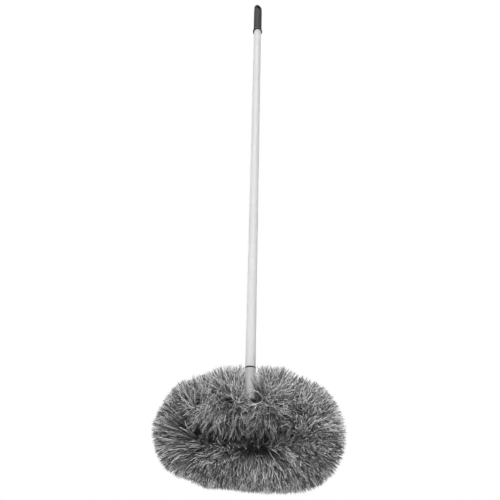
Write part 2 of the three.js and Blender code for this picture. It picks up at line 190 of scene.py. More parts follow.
def capped_grid(name: str, rings: Array, start: Array, end: Array) -> bpy.types.Object:
    """Close a stack of rings with a point at each end.

    Args:
        name: The piece's name.
        rings: Ring points, rings by corners by three.
        start: Point that closes the first ring.
        end: Point that closes the last ring.

    Returns:
        The closed piece.
    """
    rows, columns = rings.shape[:2]
    points = np.concatenate([rings.reshape(-1, 3), start[None], end[None]])
    quads = grid_faces(rows, columns, closed=False)
    j = np.arange(columns)
    beside = (j + 1) % columns
    tip = rows * columns
    last = (rows - 1) * columns
    fans = np.concatenate([
        np.stack([np.full(columns, tip), beside, j], -1),
        np.stack([np.full(columns, tip + 1), last + j, last + beside], -1),
    ])
    sizes = np.concatenate([np.full(len(quads), 4), np.full(len(fans), 3)])
    return put_mesh(name, points, np.concatenate([quads.ravel(), fans.ravel()]), sizes)


def revolve(name: str, profile: Array, sides: int, lift: Lift | None = None) -> bpy.types.Object:
    """Carry a profile of (radius, height) round Z: x = r cos a, y = r sin a, z = h.

    A profile that starts and ends on the axis gets a point at each pole, any other closes on itself.

    Args:
        name: The piece's name.
        profile: Radius and height, one row each.
        sides: Number of steps round.
        lift: Turns the grids of angle, radius and height into the final radius.

    Returns:
        The closed piece.
    """
    on_axis = profile[0, 0] < TOUCH and profile[-1, 0] < TOUCH
    body = profile[1:-1] if on_axis else profile
    angle = np.linspace(0, 2 * np.pi, sides, endpoint=False)[None]
    radius = np.repeat(body[:, :1], sides, 1)
    height = np.repeat(body[:, 1:], sides, 1)
    if lift:
        radius = lift(np.repeat(angle, len(body), 0), radius, height)
    rings = np.stack([radius * np.cos(angle), radius * np.sin(angle), height], -1)
    if on_axis:
        start, end = np.column_stack([np.zeros((2, 2)), profile[[0, -1], 1]])
        return capped_grid(name, rings, start, end)
    quads = grid_faces(len(body), sides, closed=True)
    return put_mesh(name, rings.reshape(-1, 3), quads.ravel(), np.full(len(quads), 4))


def rounded(corners: list[tuple[float, float, float]], closed: bool, steps: int = 5) -> Array:
    """Round the corners of an outline: each corner becomes a quadratic arc between two points on its edges.

    The arc is (1-t)^2 p + 2t(1-t) corner + t^2 q, where p and q lie the corner's rounding away along each
    edge.

    Args:
        corners: Radius, height and rounding of each corner.
        closed: Whether the outline joins up.
        steps: Steps in each arc.

    Returns:
        The outline's points.
    """
    spots = np.array(corners)
    t = np.linspace(0, 1, steps + 1)[:, None]
    outline = []
    for i, (place, fillet) in enumerate(zip(spots[:, :2], spots[:, 2])):
        at_end = not closed and i in (0, len(spots) - 1)
        if fillet == 0 or at_end:
            outline.append(place[None])
            continue
        before, after = spots[i - 1, :2] - place, spots[(i + 1) % len(spots), :2] - place
        p = place + before * fillet / np.linalg.norm(before)
        q = place + after * fillet / np.linalg.norm(after)
        outline.append((1 - t) ** 2 * p + 2 * t * (1 - t) * place + t**2 * q)
    return np.concatenate(outline)


def sweep(name: str, path: Array, radius: Array, sides: int) -> bpy.types.Object:
    """Carry a circle along a path: p + r (cos a n + sin a b), with n across the path and b across both.

    Args:
        name: The piece's name.
        path: Points of the centre line.
        radius: Radius at each point.
        sides: Corners of the section.

    Returns:
        The closed piece.
    """
    along = unit(np.gradient(path, axis=0))
    across = unit(np.cross(along, BACKWARD))
    third = np.cross(along, across)
    angle = np.linspace(0, 2 * np.pi, sides, endpoint=False)[None, :, None]
    round_part = np.cos(angle) * across[:, None] + np.sin(angle) * third[:, None]
    rings = path[:, None] + radius[:, None, None] * round_part
    return capped_grid(name, rings, path[0], path[-1])


def carve(piece: bpy.types.Object, cutter: bpy.types.Object) -> None:
    """Cut one closed piece out of another for good, and remove the cutter.

    Args:
        piece: The piece that is cut.
        cutter: The shape that is taken away.
    """
    cut = piece.modifiers.new("cut", "BOOLEAN")
    cut.object, cut.operation, cut.solver = cutter, "DIFFERENCE", "EXACT"
    graph = bpy.context.evaluated_depsgraph_get()
    mesh = bpy.data.meshes.new_from_object(piece.evaluated_get(graph))
    piece.modifiers.clear()
    piece.data = mesh
    bpy.data.objects.remove(cutter)


# Shader nodes

MIX_INPUTS = (0, 6, 7)
MIX_OUTPUT = 2
GRAIN_DETAIL = {"Grain": 2.0, "Patches": 4.0, "Specks": 1.0}
SPECK_FLOOR = 0.68
SPECK_GAIN = 14.0


def feed(tree: bpy.types.NodeTree, socket: bpy.types.NodeSocket, value: object) -> None:
    """Link an output to a socket, or set the socket to a value.

    Args:
        tree: Tree that holds the socket.
        socket: The input to feed.
        value: A socket to link, or a value to set.
    """
    if isinstance(value, bpy.types.NodeSocket):
        tree.links.new(value, socket)
    else:
        socket.default_value = value


def add_node(tree: bpy.types.NodeTree, kind: str, **inputs: object) -> bpy.types.Node:
    """Add a node and feed its inputs, whose names have underscores for spaces.

    Args:
        tree: Tree that takes the node.
        kind: Node type.
        **inputs: A socket to link, or a value to set.

    Returns:
        The node.
    """
    node = tree.nodes.new(kind)
    for label, value in inputs.items():
        feed(tree, node.inputs[label.replace("_", " ")], value)
    return node


def math_node(tree: bpy.types.NodeTree, operation: str, *values: object) -> bpy.types.NodeSocket:
    """Add a math node and return its result.

    Args:
        tree: Tree that takes the node.
        operation: Blender's name of the operation.
        *values: Sockets to link or numbers to set, in order.

    Returns:
        The result socket.
    """
    node = tree.nodes.new("ShaderNodeMath")
    node.operation = operation
    for socket, value in zip(node.inputs, values):
        feed(tree, socket, value)
    return node.outputs[0]


def mix_color(
    tree: bpy.types.NodeTree, share: object, a: object, b: object, blend: str = "MIX"
) -> bpy.types.NodeSocket:
    """Mix two colours.

    Args:
        tree: Tree that takes the node.
        share: Share of the second colour, a socket or a number.
        a: First colour, a socket or four numbers.
        b: Second colour, a socket or four numbers.
        blend: Blender's name of the way to mix.

    Returns:
        The mixed colour.
    """
    node = tree.nodes.new("ShaderNodeMix")
    node.data_type, node.blend_type = "RGBA", blend
    for number, value in zip(MIX_INPUTS, (share, a, b)):
        feed(tree, node.inputs[number], value)
    return node.outputs[MIX_OUTPUT]


def mix_shader(
    tree: bpy.types.NodeTree, share: bpy.types.NodeSocket, a: bpy.types.Node, b: bpy.types.Node
) -> bpy.types.NodeSocket:
    """Mix two shaders.

    Args:
        tree: Tree that takes the node.
        share: Share of the second shader.
        a: Node of the first shader.
        b: Node of the second shader.

    Returns:
        The mixed shader.
    """
    node = tree.nodes.new("ShaderNodeMixShader")
    for socket, source in zip(node.inputs, (share, a.outputs[0], b.outputs[0])):
        tree.links.new(source, socket)
    return node.outputs[0]


def new_group(name: str, inputs: dict[str, str], outputs: dict[str, str]) -> bpy.types.NodeTree:
    """Make a shader node group with named sockets.

    Args:
        name: The group's name.
        inputs: Socket type by name.
        outputs: Socket type by name.

    Returns:
        The group, with its input and output nodes named enter and leave.
    """
    group = bpy.data.node_groups.new(name, "ShaderNodeTree")
    for way, sockets in (("INPUT", inputs), ("OUTPUT", outputs)):
        for label, kind in sockets.items():
            group.interface.new_socket(label, in_out=way, socket_type=kind)
    group.nodes.new("NodeGroupInput").name = "enter"
    group.nodes.new("NodeGroupOutput").name = "leave"
    return group


def grain_group() -> bpy.types.NodeTree:
    """Grain shared by the moulded and coated finishes.

    Two noises of the stretched place make a fine grain and broad cloudy patches, and a third, cut off high,
    leaves sparse specks. Each noise has an input for its scale.

    Returns:
        The group, made once.
    """
    made = bpy.data.node_groups.get("surface_grain")
    if made:
        return made
    scales = {f"{label} Scale": "NodeSocketFloat" for label in GRAIN_DETAIL}
    outputs = dict.fromkeys(GRAIN_DETAIL, "NodeSocketFloat")
    tree = new_group("surface_grain", {"Vector": "NodeSocketVector", **scales}, outputs)
    enter, leave = tree.nodes["enter"].outputs, tree.nodes["leave"].inputs
    for label, detail in GRAIN_DETAIL.items():
        scale = enter[f"{label} Scale"]
        noise = add_node(tree, "ShaderNodeTexNoise", Vector=enter["Vector"], Scale=scale, Detail=detail)
        value = noise.outputs["Fac"]
        if label == "Specks":
            value = math_node(tree, "SUBTRACT", value, SPECK_FLOOR)
            value = math_node(tree, "MULTIPLY", value, SPECK_GAIN)
            value = math_node(tree, "MINIMUM", math_node(tree, "MAXIMUM", value, 0.0), 1.0)
        tree.links.new(value, leave[label])
    return tree


# Finishes


@dataclass(frozen=True)
class Finish:
    """Base of every finish: a named material on a Principled shader."""

    crease: ClassVar[float] = math.radians(50)
    name: str
    color: Color
    roughness: float

    def material(self) -> bpy.types.Material:
        """Make the material on its first use.

        Returns:
            The material.
        """
        made = bpy.data.materials.get(self.name)
        if made:
            return made
        made = bpy.data.materials.new(self.name)
        made.use_nodes = True
        shader = made.node_tree.nodes["Principled BSDF"]
        shader.inputs["Base Color"].default_value = (*self.color, 1.0)
        shader.inputs["Roughness"].default_value = self.roughness
        self.dress(made.node_tree, shader)
        return made

    def dress(self, tree: bpy.types.NodeTree, shader: bpy.types.Node) -> None:
        """Add the nodes that vary over the surface."""
        raise NotImplementedError


@dataclass(frozen=True)
class GrainedFinish(Finish):
    """Plastic, rubber, coat or metal with a fine grain, cloudy patches and sparse specks."""

    grain_scale: float = 2200.0
    patch_scale: float = 45.0
    speck_scale: float = 420.0
    stretch: float = 1.0
    grain_depth: float = 0.05 * MM
    patch_share: float = 0.12
    speck_color: Color = (0.2, 0.2, 0.2)
    speck_share: float = 0.3
    roughness_spread: float = 0.12
    metallic: float = 0.0
    specular: float = 0.5

    def dress(self, tree: bpy.types.NodeTree, shader: bpy.types.Node) -> None:
        """Vary colour by patches and specks, roughness by patches, and the normal by the grain.

        Args:
            tree: The material's tree.
            shader: Its Principled shader.
        """
        shader.inputs["Metallic"].default_value = self.metallic
        shader.inputs["Specular IOR Level"].default_value = self.specular
        place = add_node(tree, "ShaderNodeTexCoord").outputs["Object"]
        stretched = add_node(tree, "ShaderNodeMapping", Vector=place, Scale=(1.0, 1.0, 1.0 / self.stretch))
        grain = tree.nodes.new("ShaderNodeGroup")
        grain.node_tree = grain_group()
        tree.links.new(stretched.outputs["Vector"], grain.inputs["Vector"])
        scales = {"Grain": self.grain_scale, "Patches": self.patch_scale, "Specks": self.speck_scale}
        for label, scale in scales.items():
            grain.inputs[f"{label} Scale"].default_value = scale
        low = tuple(c * (1 - self.patch_share) for c in self.color)
        high = tuple(min(1.0, c * (1 + self.patch_share)) for c in self.color)
        base = mix_color(tree, grain.outputs["Patches"], (*low, 1.0), (*high, 1.0))
        specks = math_node(tree, "MULTIPLY", grain.outputs["Specks"], self.speck_share)
        specked = mix_color(tree, specks, base, (*self.speck_color, 1.0))
        tree.links.new(specked, shader.inputs["Base Color"])
        smoothest = self.roughness - self.roughness_spread / 2
        rough = math_node(tree, "MULTIPLY_ADD", grain.outputs["Patches"], self.roughness_spread, smoothest)
        tree.links.new(rough, shader.inputs["Roughness"])
        bump = add_node(tree, "ShaderNodeBump", Height=grain.outputs["Grain"], Distance=self.grain_depth)
        tree.links.new(bump.outputs["Normal"], shader.inputs["Normal"])


@dataclass(frozen=True)
class FibreFinish(Finish):
    """Soft fibre: painted shade darkens it from the pale tip to the root, each strand with its own shade on
    the strand map.
    """

    crease: ClassVar[float] = math.pi
    tip_color: Color = (0.5, 0.5, 0.5)
    shade_low: float = 0.14
    shade_high: float = 1.25
    root_shade_end: float = 0.2
    mid_share: float = 0.85
    sheen: float = 0.25
    specular: float = 0.25

    def dress(self, tree: bpy.types.NodeTree, shader: bpy.types.Node) -> None:
        """Ramp along the map's v from the painted shade of the root to the pale tip, and shade by its u.

        Args:
            tree: The material's tree.
            shader: Its Principled shader.
        """
        shader.inputs["Specular IOR Level"].default_value = self.specular
        shader.inputs["Sheen Weight"].default_value = self.sheen
        strand = tree.nodes.new("ShaderNodeUVMap")
        strand.uv_map = STRAND_MAP
        parts = add_node(tree, "ShaderNodeSeparateXYZ", Vector=strand.outputs["UV"])
        ramp = add_node(tree, "ShaderNodeValToRGB", Fac=parts.outputs["Y"])
        # Painted shade: the ramp darkens from the pale tip to the near-black root, for the shade deep in the
        # fur.
        stops = ramp.color_ramp.elements
        middle = tuple(r + (t - r) * self.mid_share for r, t in zip(self.color, self.tip_color))
        stops[0].position, stops[0].color = self.root_shade_end, (*self.color, 1.0)
        stops[1].position, stops[1].color = 1.0, (*self.tip_color, 1.0)
        stops.new((1 + self.root_shade_end) / 2).color = (*middle, 1.0)
        span = self.shade_high - self.shade_low
        shade = math_node(tree, "MULTIPLY_ADD", parts.outputs["X"], span, self.shade_low)
        grey = add_node(tree, "ShaderNodeCombineColor", Red=shade, Green=shade, Blue=shade)
        shaded = mix_color(tree, 1.0, ramp.outputs["Color"], grey.outputs["Color"], "MULTIPLY")
        tree.links.new(shaded, shader.inputs["Base Color"])


GRIP_PLASTIC = GrainedFinish(
    "dark_grip_moulding", (0.042, 0.042, 0.042), 0.6, speck_color=(0.09, 0.09, 0.09), specular=0.1
)
POLE_COAT = GrainedFinish(
    "satin_pole_coat", (0.78, 0.78, 0.775), 0.36, stretch=18.0, grain_depth=0.01 * MM, patch_share=0.015,
    speck_share=0.05, roughness_spread=0.03, specular=0.12
)
CONNECTOR_PLASTIC = GrainedFinish(
    "pale_plug_moulding", (0.78, 0.78, 0.77), 0.42, patch_share=0.04, speck_share=0.05
)
WASHER_PLASTIC = GrainedFinish("washer_nylon", (0.72, 0.72, 0.715), 0.5, patch_share=0.05, speck_share=0.05)
RING_RUBBER = GrainedFinish(
    "black_ring_rubber", (0.006, 0.006, 0.006), 0.75, speck_color=(0.03, 0.03, 0.03), specular=0.15
)
SOCKET_PLASTIC = GrainedFinish("grey_socket_moulding", (0.54, 0.54, 0.535), 0.5, speck_share=0.2)
FERRULE_METAL = GrainedFinish(
    "crimped_ferrule", (0.6, 0.61, 0.62), 0.4, stretch=12.0, metallic=1.0, patch_share=0.06
)
WIRE_STEEL = GrainedFinish(
    "galvanised_wire", (0.42, 0.43, 0.44), 0.42, patch_scale=260.0, metallic=1.0, patch_share=0.25
)
# Near-black root colour: painted shade deep in the fur.
FIBRE = FibreFinish("soft_fibre", (0.045, 0.045, 0.045), 0.75, tip_color=(0.82, 0.82, 0.815))


def place_piece(piece: bpy.types.Object, body: str, slot: Slot, finish: Finish, *nodes: str) -> None:
    """Dress a piece, tie it to its body and hide the nodes that it stands for.

    Args:
        piece: The finished mesh object.
        body: Body that it moves with.
        slot: Material slot of the record; not used.
        finish: Finish that dresses it.
        *nodes: Nodes that it stands for.
    """
    piece.data.materials.clear()
    piece.data.materials.append(finish.material())
    piece.data.set_sharp_from_angle(angle=finish.crease)
    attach(piece, body)
    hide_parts(*nodes)
    log.info("%s rides on %s with %d faces", piece.name, body, len(piece.data.polygons))


# Pole and grip


@dataclass(frozen=True)
class Thread:
    """Right-handed trapezoid thread under a flange, as a height over its core."""

    pitch: float = 6.0 * MM
    turns: float = 3.0
    core: float = 6.5 * MM
    depth: float = 1.5 * MM
    root_width: float = 3.4 * MM
    crest_width: float = 1.8 * MM
    neck: float = 3.0 * MM
    run_out: float = 0.25
    gap: float = 0.5 * MM

    def ridge(
        self, angle: Array, height: Array, flange: float, growth: float, turns: tuple[float, float]
    ) -> Array:
        """Height of the ridge: full within the crest's half width of the helix, falling to the root's.

        The helix is z = flange - neck - root/2 - pitch (k - a/2pi), and each end fades over the run-out.

        Args:
            angle: Angle round the axis at each grid point.
            height: Height at each grid point.
            flange: Height of the flange's underside.
            growth: How much wider the ridge is on every side.
            turns: First and last turn.

        Returns:
            Height over the core, from zero to the depth.
        """
        start = flange - self.neck - self.root_width / 2
        around = angle / (2 * np.pi)
        turn = np.round((start - height) / self.pitch + around) - around
        away = np.abs(height - start + self.pitch * turn)
        wide, narrow = self.root_width / 2 + growth, self.crest_width / 2 + growth
        flank = np.clip((wide - away) / (wide - narrow), 0, 1)
        rise = np.clip(np.minimum(turn - turns[0], turns[1] - turn) / self.run_out, 0, 1)
        return self.depth * flank * rise


@dataclass
class Pole:
    """Pole of screwed lengths: tubes, threaded plugs and bushes, seam washers and the rubber ring.

    The last length has an oval dimple pressed into its front, with finer rows over its share of the wall.
    """

    count: int = 4
    sides: int = 96
    thread: Thread = Thread()
    wall: float = 1.0 * MM
    fit_gap: float = 0.3 * MM
    seat_gap: float = 0.25 * MM
    flange: float = 2.0 * MM
    plug_bore: float = 5.0 * MM
    plug_bore_depth: float = 26.0 * MM
    seal_gap: float = 0.6 * MM
    edge: float = 0.15 * MM
    seam_fill: float = 0.2 * MM
    bead: float = 0.5 * MM
    thread_step: float = 0.3 * MM
    tube_rows: int = 12
    dimple_below: float = 46.0 * MM
    dimple_half: tuple[float, float] = (4.5 * MM, 7.5 * MM)
    dimple_depth: float = 0.9 * MM
    dimple_flat: float = 0.4
    dimple_turn: float = -1.65
    dimple_rows: int = 31
    dimple_span: float = 1.2
    dimple_clear: float = 1.4

    def body(self, number: int) -> str:
        """Body that carries a length."""
        return "handle" if number == 1 else f"section_{number}"

    def underside(self, number: int) -> float:
        """Height of the underside of a length's flange."""
        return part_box(f"pole_section_{number}")[0].z - self.seat_gap - self.flange

    def ring(self, name: str, node: str, inner: float, edge: float) -> bpy.types.Object:
        """Ring of a node's outside size with rounded edges.

        Args:
            name: The piece's name.
            node: Node whose box gives the outer radius and both heights.
            inner: Radius of the bore.
            edge: Rounding of the outer edges.

        Returns:
            The closed piece.
        """
        low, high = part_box(node)
        bottom, top = low.z - self.seam_fill, high.z + self.seam_fill
        corners = [
            (inner, bottom, self.edge / 2),
            (high.x, bottom, edge),
            (high.x, top, edge),
            (inner, top, self.edge / 2),
        ]
        return revolve(name, rounded(corners, closed=True), self.sides)

    def tube(self, number: int) -> None:
        """Build one length: a rounded-edge ring whose long walls have even rows, with the last one's dimple.

        Args:
            number: Number of the length, from the top.
        """
        node = f"pole_section_{number}"
        low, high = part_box(node)
        heights = np.linspace(low.z, high.z, self.tube_rows + 1)[1:-1]
        lift = None
        if number == self.count:
            level, half = high.z - self.dimple_below, self.dimple_half[1]
            fine = level + half * np.linspace(-self.dimple_span, self.dimple_span, self.dimple_rows)
            apart = heights[np.abs(heights - level) > self.dimple_clear * half]
            heights = np.sort(np.concatenate([apart, fine]))
            lift = self.dimpled(high.x, level)
        inner = high.x - self.wall
        outline = rounded(
            [(inner, low.z, self.edge), (high.x, low.z, self.edge)]
            + [(high.x, z, 0.0) for z in heights]
            + [(high.x, high.z, self.edge), (inner, high.z, self.edge)]
            + [(inner, z, 0.0) for z in heights[::-1]],
            closed=True,
        )
        piece = revolve(f"pole_tube_{number}", outline, self.sides, lift)
        place_piece(piece, self.body(number), Slot.POLE, POLE_COAT, node)

    def dimpled(self, outer: float, level: float) -> Lift:
        """Lift that presses a shallow oval dimple into the front of a tube's outer wall.

        Args:
            outer: Radius of the rows that are pressed in.
            level: Height of the dimple's middle.

        Returns:
            The lift for revolve.
        """
        half_across, half_up = self.dimple_half

        def lift(angle: Array, radius: Array, height: Array) -> Array:
            """Take the depth off the wall, by a smooth step from the oval's flat bottom to its rim."""
            aside = outer * np.sin(angle - self.dimple_turn)
            oval = np.hypot(aside / half_across, (height - level) / half_up)
            pressed = (radius > outer - TOUCH) & (np.cos(angle - self.dimple_turn) > 0)
            rim = ease((oval - self.dimple_flat) / (1 - self.dimple_flat))
            return radius - np.where(pressed, self.dimple_depth * (1 - rim), 0.0)

        return lift

    def plug(self, number: int) -> None:
        """Build a length's plug: a bored plug and a flange in one profile, its stub lifted by the thread.

        Args:
            number: Number of the length, from the top.
        """
        node = f"male_connector_{number}"
        low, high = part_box(node)
        under, core = self.underside(number), self.thread.core
        foot = under + self.flange
        radius = high.x - self.wall - self.fit_gap
        floor = high.z - self.plug_bore_depth
        steps = np.arange(under - self.edge, low.z + self.edge, -self.thread_step)
        corners = [
            (0.0, floor, 0.0),
            (self.plug_bore, floor, self.edge),
            (self.plug_bore, high.z, self.edge),
            (radius, high.z, 2 * self.edge),
            (radius, foot, 0.0),
            (high.x, foot, self.edge),
            (high.x, under, self.edge),
            (core, under, 0.0),
            *[(core, z, 0.0) for z in steps],
            (core, low.z, 2 * self.edge),
            (0.0, low.z, 0.0),
        ]

        def lift(angle: Array, grid_radius: Array, height: Array) -> Array:
            """Add the ridge on the stub only."""
            stub = (np.abs(grid_radius - core) < TOUCH) & (height < under)
            ridge = self.thread.ridge(angle, height, under, 0.0, (0.0, self.thread.turns))
            return grid_radius + np.where(stub, ridge, 0.0)

        piece = revolve(f"threaded_plug_{number}", rounded(corners, closed=False), self.sides, lift)
        place_piece(piece, self.body(number), Slot.CONNECTOR, CONNECTOR_PLASTIC, node)

    def grooved(self, bore: float, flange: float) -> Lift:
        """Lift that cuts the thread's groove, widened by its running gap, into a bore of one radius.

        Args:
            bore: Radius of the rows that are cut.
            flange: Underside of the flange that the thread hangs from.

        Returns:
            The lift for revolve.
        """

        def lift(angle: Array, radius: Array, height: Array) -> Array:
            """Widen the bore by the groove, from a turn above the thread to past its end."""
            inside = np.abs(radius - bore) < TOUCH
            turns = (-1.0, self.thread.turns + 2 * self.thread.run_out)
            groove = self.thread.ridge(angle, height, flange, self.thread.gap, turns)
            return radius + np.where(inside, groove, 0.0)

        return lift

    def bush(self, number: int) -> None:
        """Build a threaded bush: a ring whose bore is widened by the groove.

        Args:
            number: Number of the length that it is pressed into.
        """
        node = f"female_insert_{number}"
        low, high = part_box(node)
        bore = self.thread.core + self.thread.gap
        steps = np.arange(high.z - self.edge, low.z + self.edge, -self.thread_step)
        corners = [
            (high.x, low.z, self.edge),
            (high.x, high.z, self.edge),
            (bore, high.z, 0.0),
            *[(bore, z, 0.0) for z in steps],
            (bore, low.z, 0.0),
        ]
        lift = self.grooved(bore, self.underside(number - 1))
        piece = revolve(f"threaded_bush_{number}", rounded(corners, closed=True), self.sides, lift)
        place_piece(piece, self.body(number), Slot.CONNECTOR, CONNECTOR_PLASTIC, node)

    def build(self) -> None:
        """Build every piece of the pole."""
        bore = self.thread.core + self.thread.depth + self.seal_gap
        for number in range(1, self.count + 1):
            self.tube(number)
            self.plug(number)
            if number > 1:
                self.bush(number)
            if number < self.count:
                node = f"joint_washer_{number}"
                piece = self.ring(f"seam_washer_{number}", node, bore, self.edge)
                place_piece(piece, f"washer_{number}", Slot.WASHER, WASHER_PLASTIC, node)
        piece = self.ring("rubber_ring", "neck_ring", bore, self.bead)
        place_piece(piece, "neck_seal", Slot.RING, RING_RUBBER, "neck_ring")


@dataclass
class Grip:
    """Hand grip: a sleeve with a flared lip and a domed tip, flattened for the hang slot."""

    sides: int = 192
    wall: float = 1.2 * MM
    dome: float = 13.5 * MM
    lip_overhang: float = 2.0 * MM
    lip_height: float = 2.0 * MM
    lip_flare: float = 6.0 * MM
    lip_edge: float = 0.8 * MM
    web: float = 10.0 * MM
    flat_depth: float = 30.0 * MM
    ledge: float = 6.0 * MM
    cap_wall: float = 4.0 * MM
    turn: float = math.radians(35)
    slot_roof: float = 0.0
    slot_width: float = 14.0 * MM
    slot_height: float = 20.0 * MM
    slot_edge: float = 0.6 * MM
    slot_overrun: float = 20.0 * MM
    soft_edge: float = 1.6 * MM
    least_cosine: float = 1e-3
    flare_steps: int = 12
    dome_steps: int = 36
    row_step: float = 0.8 * MM
    fine_step: float = 0.2 * MM
    slot_steps: int = 24
    edge_steps: int = 8

    def profile(self, low: float, high: float, outer: float) -> Array:
        """Outline from the sleeve's ceiling round the foot and up to the tip.

        The flare above the lip is a smooth step, and the dome is a quarter ellipse.

        Args:
            low: Height of the foot.
            high: Height of the tip.
            outer: Radius of the lip.

        Returns:
            Radius and height, one row each.
        """
        radius = outer - self.lip_overhang
        bore = radius - self.wall
        ceiling = high - self.flat_depth - self.ledge - self.cap_wall
        flare = np.linspace(0, 1, self.flare_steps)
        flare_rows = np.column_stack([
            outer - self.lip_overhang * ease(flare),
            low + self.lip_height + self.lip_flare * flare,
        ])
        foot = rounded(
            [
                (0.0, ceiling, 0.0),
                (bore, ceiling, self.lip_edge),
                (bore, low, self.lip_edge / 2),
                (outer, low, self.lip_edge),
                (outer, low + self.lip_height, 0.0),
            ],
            closed=False,
        )
        shoulder = high - self.dome
        bench = high - self.flat_depth
        straight = np.concatenate([
            np.arange(flare_rows[-1, 1] + self.row_step, bench - self.ledge, self.row_step),
            np.arange(bench - self.ledge, bench + self.soft_edge, self.fine_step),
            np.arange(bench + self.soft_edge, shoulder - self.row_step / 2, self.row_step),
        ])
        sleeve = np.column_stack([np.full(len(straight), radius), straight])
        rise = np.linspace(0, np.pi / 2, self.dome_steps + 1)
        cap = np.column_stack([radius * np.cos(rise), shoulder + self.dome * np.sin(rise)])
        cap[-1, 0] = 0.0
        return np.concatenate([foot, flare_rows[1:], sleeve, cap])

    def flatten(self, tip: float, bore: float) -> Lift:
        """Lift that limits the outside to two parallel flats: radius at most w / |cos(a - turn)|, softly.

        Half the web is w down to the ledge, below which it widens until it is clear of the sleeve.

        Args:
            tip: Height of the grip's tip.
            bore: Radius at and under which rows are left alone.

        Returns:
            The lift for revolve.
        """
        facing = self.turn - np.pi / 2

        def lift(angle: Array, radius: Array, height: Array) -> Array:
            """Draw the outside in to the flats."""
            below = np.clip(tip - self.flat_depth - height, 0, None)
            half = self.web / 2 + below * (2 * radius.max() - self.web / 2) / self.ledge
            limit = half / np.maximum(np.abs(np.cos(angle - facing)), self.least_cosine)
            inside = (radius <= bore + TOUCH) & (height < tip - self.flat_depth)
            return np.where(inside, radius, smooth_least(radius, limit, self.soft_edge))

        return lift

    def slot_cutter(self) -> bpy.types.Object:
        """Stadium carried through the web, widened by a quarter circle at each face for a rounded rim.

        Returns:
            The cutter.
        """
        half, edge = self.slot_width / 2, self.slot_edge
        arc = np.linspace(0, np.pi, self.slot_steps)
        bearing = np.concatenate([arc, arc + np.pi])
        centre = np.repeat([self.slot_roof - half, self.slot_roof - self.slot_height + half], len(arc))
        swell = np.linspace(0, np.pi / 2, self.edge_steps)
        depth = self.web / 2 - edge + edge * np.sin(swell)
        extra = edge * (1 - np.cos(swell))
        depth = np.concatenate([[-self.slot_overrun], -depth[::-1], depth, [self.slot_overrun]])
        extra = np.concatenate([[edge], extra[::-1], extra, [edge]])
        wide = np.cos(bearing) * (half + extra[:, None])
        tall = np.sin(bearing) * (half + extra[:, None]) + centre
        side = np.array([math.cos(self.turn), math.sin(self.turn)])
        front = np.array([math.sin(self.turn), -math.cos(self.turn)])
        flat = wide[..., None] * side + depth[:, None, None] * front
        rings = np.concatenate([flat, tall[..., None]], -1)
        return capped_grid("slot_cutter", rings, rings[0].mean(0), rings[-1].mean(0))

    def build(self) -> None:
        """Build the grip and cut its hang slot."""
        low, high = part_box("grip")
        outer = max(high.x, high.y)
        bore = outer - self.lip_overhang - self.wall
        outline = self.profile(low.z, high.z, outer)
        piece = revolve("grip_sleeve", outline, self.sides, self.flatten(high.z, bore))
        carve(piece, self.slot_cutter())
        place_piece(piece, "handle", Slot.GRIP, GRIP_PLASTIC, "grip")


# Core of the head


@dataclass(frozen=True)
class Bundle:
    """One of the four stretches of fibre: a half of the loop and a run of it."""

    side: Side
    level: Level

    @property
    def upper(self) -> bool:
        """Whether it is on the upper run."""
        return self.level is Level.UPPER

    @property
    def label(self) -> str:
        """Its name, such as upper_left."""
        return f"{self.level.name}_{self.side.name}".lower()


@dataclass
class Stations:
    """Places along the core: root, direction away from the loop's middle, and direction along it."""

    root: Array
    outward: Array
    along: Array

    def on_run(self, power: int) -> Array:
        """One on the straight runs, falling to zero at the loop's ends by a power of the x along."""
        return np.abs(self.along[:, 0]) ** power


